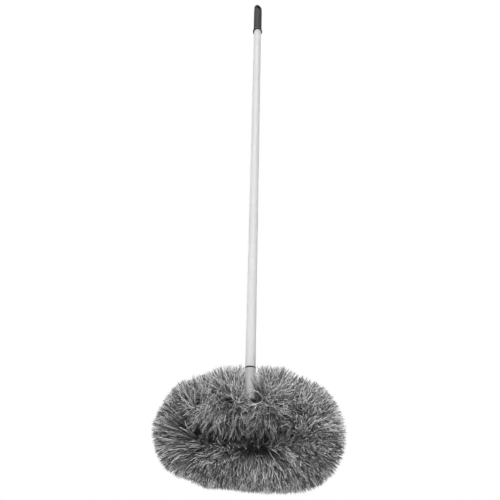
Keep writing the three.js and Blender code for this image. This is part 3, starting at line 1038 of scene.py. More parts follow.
@dataclass
class CoreLoop:
    """Bent wire core: two stems, two bends and a long loop in the XZ plane, of a pair of twisted wires."""

    wire: float = 4.0 * MM
    radius: float = 35.5 * MM
    stem: float = 4.2 * MM
    bend: float = 14.0 * MM
    bend_share: float = 0.85
    twist_pitch: float = 13.0 * MM
    step: float = 1.0 * MM
    arc_steps: int = 40
    sides: int = 10
    top: float = field(init=False)
    mid: float = field(init=False)
    upper: float = field(init=False)
    half_run: float = field(init=False)
    run_start: float = field(init=False)

    def __post_init__(self) -> None:
        """Take the loop's place from the wire's node."""
        low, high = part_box("core_wire")
        self.top = high.z
        self.mid = low.z + self.wire / 2 + self.radius
        self.upper = self.mid + self.radius
        self.half_run = high.x - self.wire / 2 - self.radius
        self.run_start = self.stem + self.bend

    def arc(self, x: float, z: float, radius: float, start: float, stop: float) -> Array:
        """Points of an arc, angles in quarter turns from +X towards +Z."""
        angle = np.linspace(start, stop, self.arc_steps)[:, None] * np.pi / 2
        return np.concatenate([x + radius * np.cos(angle), 0 * angle, z + radius * np.sin(angle)], 1)

    def path(self) -> Array:
        """Centre line from one stem's top round the loop to the other's, evenly spaced.

        Returns:
            Points, one row each.
        """
        turn_height = self.upper + self.bend
        corner = np.concatenate([
            [[-self.stem, 0, self.top]],
            self.arc(-self.run_start, turn_height, self.bend, 0, -1),
            self.arc(-self.half_run, self.mid, self.radius, 1, 3),
            self.arc(self.half_run, self.mid, self.radius, -1, 1),
            self.arc(self.run_start, turn_height, self.bend, -1, -2),
            [[self.stem, 0, self.top]],
        ])
        length = np.concatenate([[0], np.cumsum(np.linalg.norm(np.diff(corner, axis=0), axis=1))])
        even = np.arange(0, length[-1], self.step)
        return np.stack([np.interp(even, length, corner[:, i]) for i in range(3)], 1)

    def start(self, bundle: Bundle) -> float:
        """How far from the middle a bundle's straight run starts."""
        return self.run_start if bundle.upper else 0.0

    def stretch(self, bundle: Bundle) -> tuple[float, float]:
        """First and last distance of a bundle from the start of its straight run.

        Args:
            bundle: The bundle, which takes in a share of the stem's bend if it is an upper one.

        Returns:
            Both distances.
        """
        first = -self.bend_share * self.bend * np.pi / 2 if bundle.upper else 0.0
        return first, self.half_run - self.start(bundle) + self.radius * np.pi / 2

    def stations(self, bundle: Bundle, distance: Array) -> Stations:
        """Places at distances along a bundle: down the stem's bend, straight out, then round the loop's end.

        Args:
            bundle: The bundle.
            distance: Distances from the start of the straight run.

        Returns:
            The stations, one row each.
        """
        aside, up = bundle.side.value, bundle.level.value
        start = self.start(bundle)
        angle = np.clip(distance - (self.half_run - start), 0, None) / self.radius
        bend = np.clip(-distance, 0, None) / self.bend
        run = np.clip(start + np.clip(distance, 0, None), 0, self.half_run)
        still = np.zeros_like(angle)
        turned = angle + bend
        outward = np.stack([aside * np.sin(turned), still, up * np.cos(turned)], -1)
        along = np.stack([aside * np.cos(turned), still, -up * np.sin(turned)], -1)
        rise = np.stack([aside * np.sin(angle), still, up * np.cos(angle)], -1) * self.radius
        hook = np.stack([-aside * np.sin(bend), still, 1 - np.cos(bend)], -1) * self.bend
        centre = np.stack([aside * run, still, np.full_like(angle, self.mid)], -1)
        return Stations(centre + rise + hook, outward, along)

    def build(self) -> None:
        """Build the two wires: each keeps its radius from the centre line and turns round it once a pitch."""
        path = self.path()
        across = np.cross(unit(np.gradient(path, axis=0)), BACKWARD)
        phase = 2 * np.pi * np.arange(len(path)) * self.step / self.twist_pitch
        strand = self.wire / 4
        radius = np.full(len(path), strand)
        for label, offset in (("a", 0.0), ("b", np.pi)):
            swing = np.cos(phase + offset)[:, None] * across
            swing[:, 1] += np.sin(phase + offset)
            piece = sweep(f"twisted_wire_{label}", path + strand * swing, radius, self.sides)
            place_piece(piece, "head", Slot.WIRE, WIRE_STEEL, "core_wire")


# Lie of the fibres


@dataclass
class Course:
    """What sets the course of fibres, one row each.

    The place along the bundle, the turn round the core from outward, the share of the fan, the bend and curl
    as vectors, and the shares of the reach and of the droop.
    """

    where: Array
    turn: Array
    lean: Array
    bend: Array
    curl: Array
    share: Array
    limp: Array

    @property
    def front(self) -> Array:
        """How far each fibre turns to the front, from zero at the sides to one by half of the way."""
        return ease(-2 * np.sin(self.turn))


@dataclass(frozen=True)
class Locks:
    """How fibres gather in locks: where locks stand, how they lie, and how the strands of one differ.

    The steps are the inverse of the plastic number and its square, whose multiples fill two ranges evenly.
    """

    count: int = 2500
    strands: int = 4
    steps: tuple[float, float] = (0.7548776662, 0.5698402910)
    neck_crowd: float = 1.2
    turn_bias: tuple[float, float] = (0.3, 0.12)
    stray: float = 0.08
    curl: float = 0.06
    uneven: float = 0.03
    fan: tuple[float, float] = (-0.1, 1.0)
    strand_along: float = 4.5 * MM
    strand_turn: float = 0.08
    strand_lean: float = 0.1
    strand_stray: float = 0.03
    strand_curl: float = 0.05
    strand_uneven: float = 0.04
    under_share: float = 0.2
    under_reach: tuple[float, float] = (0.2, 0.75)

    @property
    def owner(self) -> Array:
        """Lock that each strand belongs to."""
        return np.repeat(np.arange(self.count), self.strands)

    def draw(self, bundle: Bundle, ends: tuple[float, float], rng: np.random.Generator) -> Course:
        """Draw the course of each lock of a bundle.

        Places crowd towards the neck by a power, and turns by two sines, a - p sin a + q sin 2a.

        Args:
            bundle: The bundle.
            ends: Its first and last distance along the core.
            rng: Seeded source of chance.

        Returns:
            The locks' courses.
        """
        first, last = ends
        place, around = ((0.5 + np.arange(self.count) * step) % 1 for step in self.steps)
        crowd = self.neck_crowd if bundle.upper else 1.0
        turn = 2 * np.pi * around - np.pi
        once, twice = self.turn_bias
        return Course(
            where=first + (last - first) * place**crowd,
            turn=turn - once * np.sin(turn) + twice * np.sin(2 * turn),
            bend=spread(rng, self.stray, (self.count, 3)),
            curl=spread(rng, self.curl, (self.count, 3)),
            share=1 - self.uneven * rng.random(self.count),
            lean=rng.uniform(*self.fan, self.count),
            limp=rng.random(self.count),
        )

    def part(
        self, locks: Course, ends: tuple[float, float], rng: np.random.Generator
    ) -> tuple[Course, Array]:
        """Draw the course of each strand near its lock's, some of them short ones under the rest.

        Args:
            locks: The locks' courses.
            ends: The bundle's first and last distance along the core.
            rng: Seeded source of chance.

        Returns:
            The strands' courses, and which of them are short.
        """
        owner = self.owner
        count = len(owner)
        under = rng.random(count) < self.under_share
        course = Course(
            where=np.clip(locks.where[owner] + spread(rng, self.strand_along, count), *ends),
            turn=locks.turn[owner] + spread(rng, self.strand_turn, count),
            lean=locks.lean[owner] + spread(rng, self.strand_lean, count),
            bend=locks.bend[owner] + spread(rng, self.strand_stray, (count, 3)),
            curl=locks.curl[owner] + spread(rng, self.strand_curl, (count, 3)),
            share=locks.share[owner],
            limp=locks.limp[owner],
        )
        short, full = rng.uniform(*self.under_reach, count), 1 - self.strand_uneven * rng.random(count)
        course.share = course.share * np.where(under, short, full)
        return course, under


@dataclass(frozen=True)
class Splay:
    """How fibres lean sideways: away from a run's middle, and over the gap between the stems.

    On the upper run's inner end they fan over the gap, but the front ones are held open by a share, which on
    the left grows with the cosine of the turn.
    """

    upper: float = 0.85
    lower_right: float = 0.5
    lower_left: float = 0.22
    upper_start: float = 10.0 * MM
    length: float = 55.0 * MM
    run_power: int = 4
    fan_length: float = 34.0 * MM
    open_right: float = 0.6
    open_left: float = 0.5
    open_left_rise: float = 3.0
    open_left_shift: float = 0.4

    def lean(self, bundle: Bundle, at: Stations, course: Course, lower_centre: float) -> Array:
        """Lean of each fibre along +X.

        Args:
            bundle: The bundle.
            at: Stations of the roots.
            course: The fibres' courses.
            lower_centre: Middle of the lower run's splay, along X.

        Returns:
            The leans.
        """
        start, centre = (self.upper_start, 0.0) if bundle.upper else (0.0, lower_centre)
        away = at.root[:, 0] - centre
        most = self.upper if bundle.upper else np.where(away > 0, self.lower_right, self.lower_left)
        splay = most * np.sign(away) * ease((np.abs(away) - start) / self.length) * at.on_run(self.run_power)
        if not bundle.upper:
            return splay
        held = self.open_right
        if bundle.side is Side.LEFT:
            shifted = np.cos(course.turn) * self.open_left_rise + self.open_left_shift
            held = np.maximum(ease(shifted), self.open_left)
        fanned = (1 - course.front * held) * ease(1 - course.where / self.fan_length)
        return splay * (1 - fanned) - bundle.side.value * course.lean * fanned


@dataclass(frozen=True)
class Parting:
    """How fibres part round the line of sight: at the left end, and along the lower run, most at one spot."""

    sight: tuple[float, float, float] = (0.0, -0.96, -0.28)
    width: float = math.radians(105)
    outer_gap: float = math.radians(30)
    inner_gap: float = math.radians(13)
    rim_blend: float = 0.6
    left: float = 2.1
    left_start: float = 55.0 * MM
    left_fade: float = 30.0 * MM
    lower: float = 0.6
    lower_end: float = 70.0 * MM
    lower_fade: float = 40.0 * MM
    spot: float = 1.25
    spot_centre: float = 15.0 * MM
    spot_half: float = 38.0 * MM

    def toward(self, direction: Array) -> Array:
        """Cosine of each direction's angle from the line of sight."""
        return direction @ unit(np.array(self.sight))

    def strength(self, bundle: Bundle, root: Array) -> Array:
        """How far the fibres are parted at each root: smooth steps for the runs, a bell for the spot.

        Args:
            bundle: The bundle.
            root: Places on the core.

        Returns:
            Shares of the gap.
        """
        x = root[:, 0]
        left = self.left * ease((-x - self.left_start) / self.left_fade)
        if bundle.upper:
            return left
        spot = self.spot * np.exp(-(((x - self.spot_centre) / self.spot_half) ** 2))
        lower = self.lower * ease((self.lower_end - x) / self.lower_fade)
        return np.maximum(left, np.maximum(spot, lower))

    def comb(self, direction: Array, outward: Array, strength: Array) -> Array:
        """Part the fibres: an angle a from the line of sight becomes gap + a (1 - gap / width).

        The gap is wide towards the rim and narrow towards the middle of the head.

        Args:
            direction: Unit direction of each fibre.
            outward: Direction to the rim at each root.
            strength: Share of the gap at each root.

        Returns:
            The combed unit directions.
        """
        sight = unit(np.array(self.sight))
        toward = self.toward(direction)
        angle = np.arccos(np.clip(toward, -1, 1))
        aside = unit(direction - toward[:, None] * sight)
        rimward = ease((np.einsum("ij,ij->i", aside, outward) + self.rim_blend) / (2 * self.rim_blend))
        gap = strength * (self.inner_gap + (self.outer_gap - self.inner_gap) * rimward)
        parted = np.where(angle < self.width, gap + angle * (1 - gap / self.width), angle)
        return np.cos(parted)[:, None] * sight + np.sin(parted)[:, None] * aside


@dataclass(frozen=True)
class Trim:
    """How far fibres reach: to an outline by bearing in the loop's plane, and less on the loop's inside.

    Fibres at the front of the lower run count as inward ones, apart from its right end. On the stem's bend
    the reach falls towards the neck.
    """

    bearings: tuple[float, ...] = (-180, -150, -120, -90, -60, -30, 0, 20, 45, 70, 90, 110, 135, 160, 180)
    outline_mm: tuple[float, ...] = (91, 89, 74, 84, 90, 93, 91, 87, 84, 96, 94, 91, 81, 84, 91)
    inner_upper: float = 78.0 * MM
    inner_lower: float = 22.0 * MM
    inner_end: float = 31.0 * MM
    end_rise: float = 2.0
    inward_start: float = 0.1
    inward_rise: float = 0.6
    front_share: float = 0.7
    front_end: float = 75.0 * MM
    front_fade: float = 45.0 * MM
    run_power: int = 2
    hook_end: float = 12.0 * MM
    hook_shares: tuple[float, float, float] = (0.4, 0.9, 1.0)

    def reach(self, bundle: Bundle, at: Stations, course: Course, direction: Array, first: float) -> Array:
        """Reach of each fibre: the outline's, blended to the inner one by how far it points inwards.

        Args:
            bundle: The bundle.
            at: Stations of the roots.
            course: The fibres' courses.
            direction: Unit direction of each fibre.
            first: First distance of the bundle along the core.

        Returns:
            The reaches.
        """
        bearing = np.degrees(np.arctan2(direction[:, 2], direction[:, 0]))
        full = np.interp(bearing, self.bearings, self.outline_mm) * MM
        inner = self.inner_upper if bundle.upper else self.inner_lower
        inner = inner + (self.inner_end - inner) * ease(np.abs(at.outward[:, 0]) * self.end_rise)
        start, hooked = self.inward_start, np.ones(len(full))
        if bundle.upper:
            hooked = np.interp(course.where, (first, 0.0, self.hook_end), self.hook_shares)
        else:
            left = ease((self.front_end - at.root[:, 0]) / self.front_fade)
            start = start - self.front_share * course.front * at.on_run(self.run_power) * left
        inward = ease((-start - np.cos(course.turn)) / self.inward_rise)
        return (full + (inner - full) * inward) * course.share * hooked


@dataclass(frozen=True)
class Slack:
    """How loosely fibres lie: all droop a little, those in front of the upper run more.

    The ones that face the viewer stray more, where they aren't parted.
    """

    droop: float = 0.03
    droop_front: float = 0.6
    run_power: int = 2
    stray_upper: float = 2.0
    stray_lower: float = 0.6
    facing_start: float = 0.45
    facing_rise: float = 0.45
    parted_end: float = 1.2

    def drop(self, bundle: Bundle, at: Stations, course: Course, direction: Array) -> Array:
        """Share of the reach by which each fibre's tip hangs down.

        Args:
            bundle: The bundle.
            at: Stations of the roots.
            course: The fibres' courses.
            direction: Unit direction of each fibre.

        Returns:
            The shares.
        """
        if not bundle.upper:
            return np.full(len(direction), self.droop)
        front = ease(-direction[:, 1]) * at.on_run(self.run_power)
        return self.droop + self.droop_front * course.limp * front

    def loosen(self, bundle: Bundle, toward: Array, parted: Array) -> Array:
        """Factor on the bend and curl of each fibre.

        Args:
            bundle: The bundle.
            toward: Cosine of each fibre's angle from the line of sight.
            parted: How far the fibres are parted at each root.

        Returns:
            The factors.
        """
        facing = ease((toward - self.facing_start) / self.facing_rise) * (self.parted_end - parted)
        return 1 + (self.stray_upper if bundle.upper else self.stray_lower) * np.clip(facing, 0, 1)


@dataclass(frozen=True)
class Shading:
    """Shades of strands on the strand map: dark and pale ones, mostly by whole locks, each with some chance.

    The dark ones are partly random tone and partly painted shade for the gaps between strands.
    Upper strands that point down to the front get painted shade.
    """

    dark_share_upper: float = 0.42
    dark_share_lower: float = 0.57
    clump: float = 0.8
    dark: float = 0.03
    pale: float = 0.8
    lock_spread: float = 0.15
    strand_spread: float = 0.14
    shaded: tuple[float, float, float] = (0.0, -0.6, -0.8)
    painted_shade_depth: float = 0.27
    shaded_start: float = 0.4
    shaded_rise: float = 0.5
    limits: tuple[float, float] = (0.02, 0.96)

    def draw(self, bundle: Bundle, locks: Locks, rng: np.random.Generator) -> Array:
        """Draw the shade of each strand.

        Args:
            bundle: The bundle.
            locks: Locks that the strands are in.
            rng: Seeded source of chance.

        Returns:
            The shades, not yet held to the map.
        """
        owner = locks.owner
        count = len(owner)
        dark_share = self.dark_share_upper if bundle.upper else self.dark_share_lower
        # Dark strands: partly random tone, partly painted shade for the gaps between strands.
        lock_dark = rng.random(locks.count) < dark_share
        dark = np.where(rng.random(count) < self.clump, lock_dark[owner], rng.random(count) < dark_share)
        shade = np.where(dark, self.dark, self.pale) + rng.normal(0, self.lock_spread, locks.count)[owner]
        return shade + rng.normal(0, self.strand_spread, count)

    def settle(self, bundle: Bundle, shade: Array, direction: Array) -> Array:
        """Paint shade on the upper strands that point down to the front, and hold all shades to the map.

        Args:
            bundle: The bundle.
            shade: Drawn shade of each strand.
            direction: Unit direction of each strand's middle.

        Returns:
            The shades.
        """
        # Painted shade on upper strands that point down to the front, away from the light above.
        ahead = direction @ np.array(self.shaded)
        darker = self.painted_shade_depth * ease((ahead - self.shaded_start) / self.shaded_rise) * bundle.upper
        return np.clip(shade - darker, *self.limits)


@dataclass(frozen=True)
class Pit:
    """Oval hollow in the fur: its middle and half sizes as seen, how far back it goes, and its rim's fray."""

    across: float
    level: float
    half_across: float
    half_up: float
    back: float
    fray: float


@dataclass(frozen=True)
class Hollows:
    """Room that strands leave free: round the neck, in a V in front of it, and in pits.

    The V's point lies on the socket. Levels in front are seen along the sight line's slope, z - slope y.
    """

    neck_room: float = 12.5 * MM
    neck_below: float = 2.0 * MM
    sight_slope: float = 0.357
    vee_start: float = 8.0 * MM
    vee_levels: tuple[float, ...] = (-47 * MM, -40 * MM, -28 * MM, 0.0)
    vee_left: tuple[float, ...] = (4 * MM, 9 * MM, 11 * MM, 11.5 * MM)
    vee_right: tuple[float, ...] = (-9 * MM, -7 * MM, -3 * MM, 5 * MM)
    stub: float = 0.2
    rim: float = 1.1
    pits: tuple[Pit, ...] = (
        Pit(13 * MM, -1306 * MM, 15 * MM, 12 * MM, 5 * MM, 0.6),
        Pit(-99 * MM, -1373 * MM, 8 * MM, 18 * MM, -6 * MM, 0.4),
        Pit(-99 * MM, -1312 * MM, 6 * MM, 24 * MM, -6 * MM, 0.4),
        Pit(20 * MM, -1391 * MM, 26 * MM, 11 * MM, -6 * MM, 0.15),
    )

    def at_neck(self, points: Array, side: Side) -> Array:
        """Points in the neck's room, or in the V in front of it.

        Args:
            points: Centre lines, strands by knots by three.
            side: Half of the loop that they grow on.

        Returns:
            True at each such point.
        """
        low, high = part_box("head_socket")
        level = points[..., 2] - self.sight_slope * points[..., 1] - high.z
        edge = np.interp(level, self.vee_levels, self.vee_left if side is Side.LEFT else self.vee_right)
        in_front = (points[..., 1] < -self.vee_start) & (level > self.vee_levels[0])
        in_vee = in_front & (side.value * points[..., 0] < edge)
        around = np.linalg.norm(points[..., :2], axis=-1) < self.neck_room
        return in_vee | (around & (points[..., 2] > low.z - self.neck_below))

    def in_pit(self, points: Array, pit: Pit, rng: np.random.Generator) -> Array:
        """Points in a pit, whose rim is drawn anew for each strand.

        Args:
            points: Centre lines, strands by knots by three.
            pit: The pit.
            rng: Seeded source of chance.

        Returns:
            True at each such point.
        """
        level = points[..., 2] - self.sight_slope * points[..., 1]
        oval = np.hypot((points[..., 0] - pit.across) / pit.half_across, (level - pit.level) / pit.half_up)
        return (oval < rng.uniform(pit.fray, self.rim, (len(points), 1))) & (points[..., 1] < pit.back)

    def shorten(
        self, points: Array, knots: Array, side: Side, rng: np.random.Generator
    ) -> tuple[Array, Array]:
        """Shorten the strands that meet the neck or a pit.

        A strand that is inside one from the share c of its length on is drawn again over 0 to c, each new
        point lying between its two old neighbours by the share of the step.

        Args:
            points: Centre lines, strands by knots by three.
            knots: Share of the length at each knot.
            side: Half of the loop that they grow on.
            rng: Seeded source of chance.

        Returns:
            The shortened lines, and the share of its length that each keeps.
        """
        kept = np.ones(len(points))
        for inside in (self.at_neck(points, side), *(self.in_pit(points, pit, rng) for pit in self.pits)):
            entered = knots[np.maximum(np.argmax(inside, 1) - 1, 0)]
            kept = np.minimum(kept, np.where(inside.any(1), np.maximum(entered, self.stub), 1.0))
        spots = knots[None] * kept[:, None]
        before = np.clip(np.searchsorted(knots, spots, side="right") - 1, 0, len(knots) - 2)
        step = ((spots - knots[before]) / (knots[before + 1] - knots[before]))[..., None]
        a = np.take_along_axis(points, before[..., None], 1)
        b = np.take_along_axis(points, before[..., None] + 1, 1)
        return a + (b - a) * step, kept


# Fibres and socket


@dataclass
class FibreHead:
    """Fibres of the brush: locks of crimped strands that stand out all round the core loop."""

    loop: CoreLoop
    locks: Locks = Locks()
    splay: Splay = Splay()
    parting: Parting = Parting()
    trim: Trim = Trim()
    slack: Slack = Slack()
    shading: Shading = Shading()
    hollows: Hollows = Hollows()
    pieces: str = "abc"
    sides: int = 3
    knots: tuple[float, ...] = (0.0, 0.16, 0.32, 0.48, 0.64, 0.8, 0.95, 1.0)
    thickness_mm: tuple[float, ...] = (0.42, 0.6, 0.7, 0.77, 0.77, 0.73, 0.6)
    middle_knot: int = 4
    skew: tuple[float, float, float] = (0.31, 0.87, 0.39)
    root_radius: float = 3.0 * MM
    full_reach: float = 92.0 * MM
    draw: float = 0.34
    draw_power: float = 1.3
    crimp: float = 2.0 * MM
    crimp_waves: tuple[float, float] = (1.2, 2.6)
    regrown: tuple[float, float] = (0.5, 1.1)
    map_step: float = 0.004
    mat_radius: float = 3.6 * MM
    mat_sides: int = 20
    mat_step: float = 2.0 * MM
    mat_lumps: float = 0.08
    mat_shade_spot: tuple[float, float] = (0.3, 0.02)
    mat_patch: float = 0.1
    mat_steps: tuple[float, float] = (0.618, 0.382)

    def lines(self, bundle: Bundle, course: Course) -> tuple[Array, Array]:
        """Centre lines of fibres: root + L (d t + b t^2 + c t^3).

        L is the reach, d the direction, b the bend with the droop and c the curl of the tip. The direction is
        the turn round the core, splayed sideways and then parted.

        Args:
            bundle: The bundle.
            course: The fibres' courses.

        Returns:
            Points, fibres by knots by three, and the reach of each.
        """
        t = np.array(self.knots)[None, :, None]
        at = self.loop.stations(bundle, course.where)
        straight = np.cos(course.turn)[:, None] * at.outward + np.sin(course.turn)[:, None] * BACKWARD
        straight[:, 0] += self.splay.lean(bundle, at, course, self.parting.spot_centre)
        parted = self.parting.strength(bundle, at.root)
        direction = self.parting.comb(unit(straight), at.outward, parted)
        reach = self.trim.reach(bundle, at, course, direction, self.loop.stretch(bundle)[0])
        drop = self.slack.drop(bundle, at, course, direction)[:, None, None] * DOWN
        loosen = self.slack.loosen(bundle, self.parting.toward(direction), parted)[:, None, None]
        bend, curl = loosen * course.bend[:, None] + drop, loosen * course.curl[:, None]
        shape = direction[:, None] * t + bend * t**2 + curl * t**3
        return (at.root + self.root_radius * direction)[:, None] + reach[:, None, None] * shape, reach

    def curves(self, bundle: Bundle, rng: np.random.Generator) -> tuple[Array, Array, Array]:
        """Centre lines of a bundle's strands.

        Strands draw together towards their lock's own line by a share that grows with t, a sine wave crimps
        them, and each is then scaled back to its reach.

        Args:
            bundle: The bundle.
            rng: Seeded source of chance.

        Returns:
            Points, strands by knots by three, each strand's shade and its share of the full reach.
        """
        knots = np.array(self.knots)
        t = knots[None, :, None]
        ends = self.loop.stretch(bundle)
        locks = self.locks.draw(bundle, ends, rng)
        shade = self.shading.draw(bundle, self.locks, rng)
        guide, _ = self.lines(bundle, locks)
        course, under = self.locks.part(locks, ends, rng)
        own, reach = self.lines(bundle, course)
        drawn = self.draw * t**self.draw_power * ~under[:, None, None]
        points = own + (guide[self.locks.owner] - own) * drawn
        single = (len(points), 1, 1)
        wave = np.sin(2 * np.pi * (t * rng.uniform(*self.crimp_waves, single) + rng.random(single)))
        points = points + self.crimp * t * wave * unit(rng.normal(0, 1, (len(points), 3)))[:, None]
        grown = points - points[:, :1]
        regrown = np.clip(reach / np.linalg.norm(grown[:, -1], axis=-1), *self.regrown)
        points = points[:, :1] + grown * regrown[:, None, None]
        shade = self.shading.settle(bundle, shade, unit(grown[:, self.middle_knot]))
        points, kept = self.hollows.shorten(points, knots, bundle.side, rng)
        return points, shade, kept * reach / self.full_reach

    def strand_piece(self, name: str, points: Array, shade: Array, share: Array) -> bpy.types.Object:
        """Three-sided tapered strands, closed at the root and pointed at the tip, with a strand map.

        Each ring is centre + r (cos a n + sin a b). On the map u is the strand's shade, with a small step for
        each side, and v runs from the root by the length over the full reach, so that short strands end in
        the ramp's painted shade.

        Args:
            name: The piece's name.
            points: Centre lines, strands by knots by three.
            shade: Shade of each strand.
            share: Each strand's share of the full reach.

        Returns:
            The piece.
        """
        (count, knots), sides = points.shape[:2], self.sides
        along = unit(np.gradient(points, axis=1))
        across = unit(np.cross(along, np.array(self.skew)))
        third = np.cross(along, across)
        radius = np.array(self.thickness_mm) * MM
        angle = np.arange(sides) * 2 * np.pi / sides
        rings = points[:, :-1, None] + radius[None, :, None, None] * (
            np.cos(angle)[None, None, :, None] * across[:, :-1, None]
            + np.sin(angle)[None, None, :, None] * third[:, :-1, None]
        )
        vertices = np.concatenate([rings.reshape(count, -1, 3), points[:, -1:]], 1)
        row, corner = (a.ravel() for a in np.meshgrid(np.arange(knots - 2), np.arange(sides), indexing="ij"))
        here, beside = sides * row, (corner + 1) % sides
        quads = np.stack([here + corner, here + beside, here + sides + beside, here + sides + corner], -1)
        j = np.arange(sides)
        last, tip = sides * (knots - 2), sides * (knots - 1)
        tips = np.stack([last + j, last + (j + 1) % sides, np.full(sides, tip)], -1)
        pattern = np.concatenate([quads.ravel(), tips.ravel(), j[::-1]])
        sizes = np.concatenate([np.full(len(quads), 4), np.full(len(tips), 3), [sides]])
        first = (tip + 1) * np.arange(count)[:, None]
        piece = put_mesh(name, vertices.reshape(-1, 3), (first + pattern).ravel(), np.tile(sizes, count))
        heights = np.array(self.knots)
        quad_u = np.stack([corner, corner + 1, corner + 1, corner], -1)
        quad_v = np.stack([heights[row], heights[row], heights[row + 1], heights[row + 1]], -1)
        tip_u = np.stack([j, j + 1, j + 0.5], -1)
        tip_v = np.tile([heights[-2], heights[-2], 1.0], sides)
        root_v = np.where(j == sides - 1, 2 * self.map_step, 0.0)
        u = np.concatenate([quad_u.ravel(), tip_u.ravel(), j[::-1]]) * self.map_step
        v = np.concatenate([quad_v.ravel(), tip_v, root_v])
        # Short strands end lower on the ramp, in its painted shade.
        put_map(piece, np.stack([shade[:, None] + u, np.minimum(share[:, None] * v, 1.0)], -1))
        return piece

    def mat(self, bundle: Bundle, rng: np.random.Generator) -> None:
        """Build the matted roots: a lumpy tube round the core, its strand map kept in the ramp's painted
        shade near the root.

        Args:
            bundle: The bundle.
            rng: Seeded source of chance.
        """
        distance = np.arange(*self.loop.stretch(bundle), self.mat_step)
        at = self.loop.stations(bundle, distance)
        radius = self.mat_radius * (1 + spread(rng, self.mat_lumps, len(distance)))
        piece = sweep(f"root_mat_{bundle.label}", at.root, radius, self.mat_sides)
        order = np.arange(len(piece.data.loops))[:, None]
        # The mat's spot on the map lies in the ramp's painted shade near the root.
        put_map(piece, np.array(self.mat_shade_spot) + self.mat_patch * (order * np.array(self.mat_steps) % 1))
        place_piece(piece, "head", Slot.FIBRE, FIBRE, f"fibre_{bundle.label}")

    def build(self) -> None:
        """Build the four bundles, each one's locks dealt to its pieces in turn, and their matted roots."""
        rng = np.random.default_rng(SEED)
        for bundle in (Bundle(side, level) for level in Level for side in Side):
            points, shade, share = self.curves(bundle, rng)
            dealt = self.locks.owner % len(self.pieces)
            for number, label in enumerate(self.pieces):
                mine = dealt == number
                name = f"fur_{bundle.label}_{label}"
                piece = self.strand_piece(name, points[mine], shade[mine], share[mine])
                place_piece(piece, "head", Slot.FIBRE, FIBRE, f"fibre_{bundle.label}")
            self.mat(bundle, rng)


@dataclass
class Socket:
    """Socket of the head, with its thread, the ferrule's bore and the cross hole for the pin."""

    pole: Pole
    thread_depth: float = 26.0 * MM
    chamfer: float = 1.5 * MM
    pin: float = 1.8 * MM
    pin_reach: float = 50.0 * MM
    pin_sides: int = 32
    ferrule_gap: float = 0.3 * MM

    def pin_cutter(self) -> bpy.types.Object:
        """Rod along Y at the pin's height, longer than the socket is deep.

        Returns:
            The cutter.
        """
        low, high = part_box("socket_pin")
        radius = np.array([0.0, self.pin, self.pin, 0.0])
        reach = np.repeat([-self.pin_reach, self.pin_reach], 2)
        cutter = revolve("pin_cutter", np.column_stack([radius, reach]), self.pin_sides)
        raised = Matrix.Translation((0, 0, (low.z + high.z) / 2))
        cutter.data.transform(raised @ Matrix.Rotation(np.pi / 2, 4, "X"))
        return cutter

    def build(self) -> None:
        """Build the socket, and dress the ferrule and pin that it hides."""
        low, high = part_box("head_socket")
        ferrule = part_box("wire_ferrule")[1].x + self.ferrule_gap
        bore = self.pole.thread.core + self.pole.thread.gap
        shelf = high.z - self.thread_depth
        edge = self.pole.edge
        corners = [
            (ferrule, shelf, 0.0),
            (ferrule, low.z, edge),
            (high.x - self.chamfer, low.z, edge),
            (high.x, low.z + self.chamfer, edge),
            (high.x, high.z, 2 * edge),
            (bore, high.z, 0.0),
            *[(bore, z, 0.0) for z in np.arange(high.z - edge, shelf + edge, -self.pole.thread_step)],
            (bore, shelf, 0.0),
        ]
        lift = self.pole.grooved(bore, self.pole.underside(self.pole.count))
        piece = revolve("neck_socket", rounded(corners, closed=True), self.pole.sides, lift)
        carve(piece, self.pin_cutter())
        place_piece(piece, "head", Slot.SOCKET, SOCKET_PLASTIC, "head_socket")
        for node, finish in (("wire_ferrule", FERRULE_METAL), ("socket_pin", WIRE_STEEL)):
            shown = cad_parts[node]
            shown.data.materials.clear()
            shown.data.materials.append(finish.material())


# Camera, light and floor


@dataclass(frozen=True)
class Lamp:
    """Broad lamp so far away that it lights the whole length alike.

    It has a direction from the object to the lamp, watts per square metre and the degrees that it spans.
    """

    name: str
    toward: tuple[float, float, float]
    strength: float
    softness: float

    def build(self) -> None:
        """Add the lamp."""
        data = bpy.data.lights.new(self.name, "SUN")
        data.energy, data.angle = self.strength, math.radians(self.softness)
        lamp = bpy.data.objects.new(self.name, data)
        lamp.matrix_world = Vector(self.toward).to_track_quat("Z", "Y").to_matrix().to_4x4()
        bpy.context.scene.collection.objects.link(lamp)


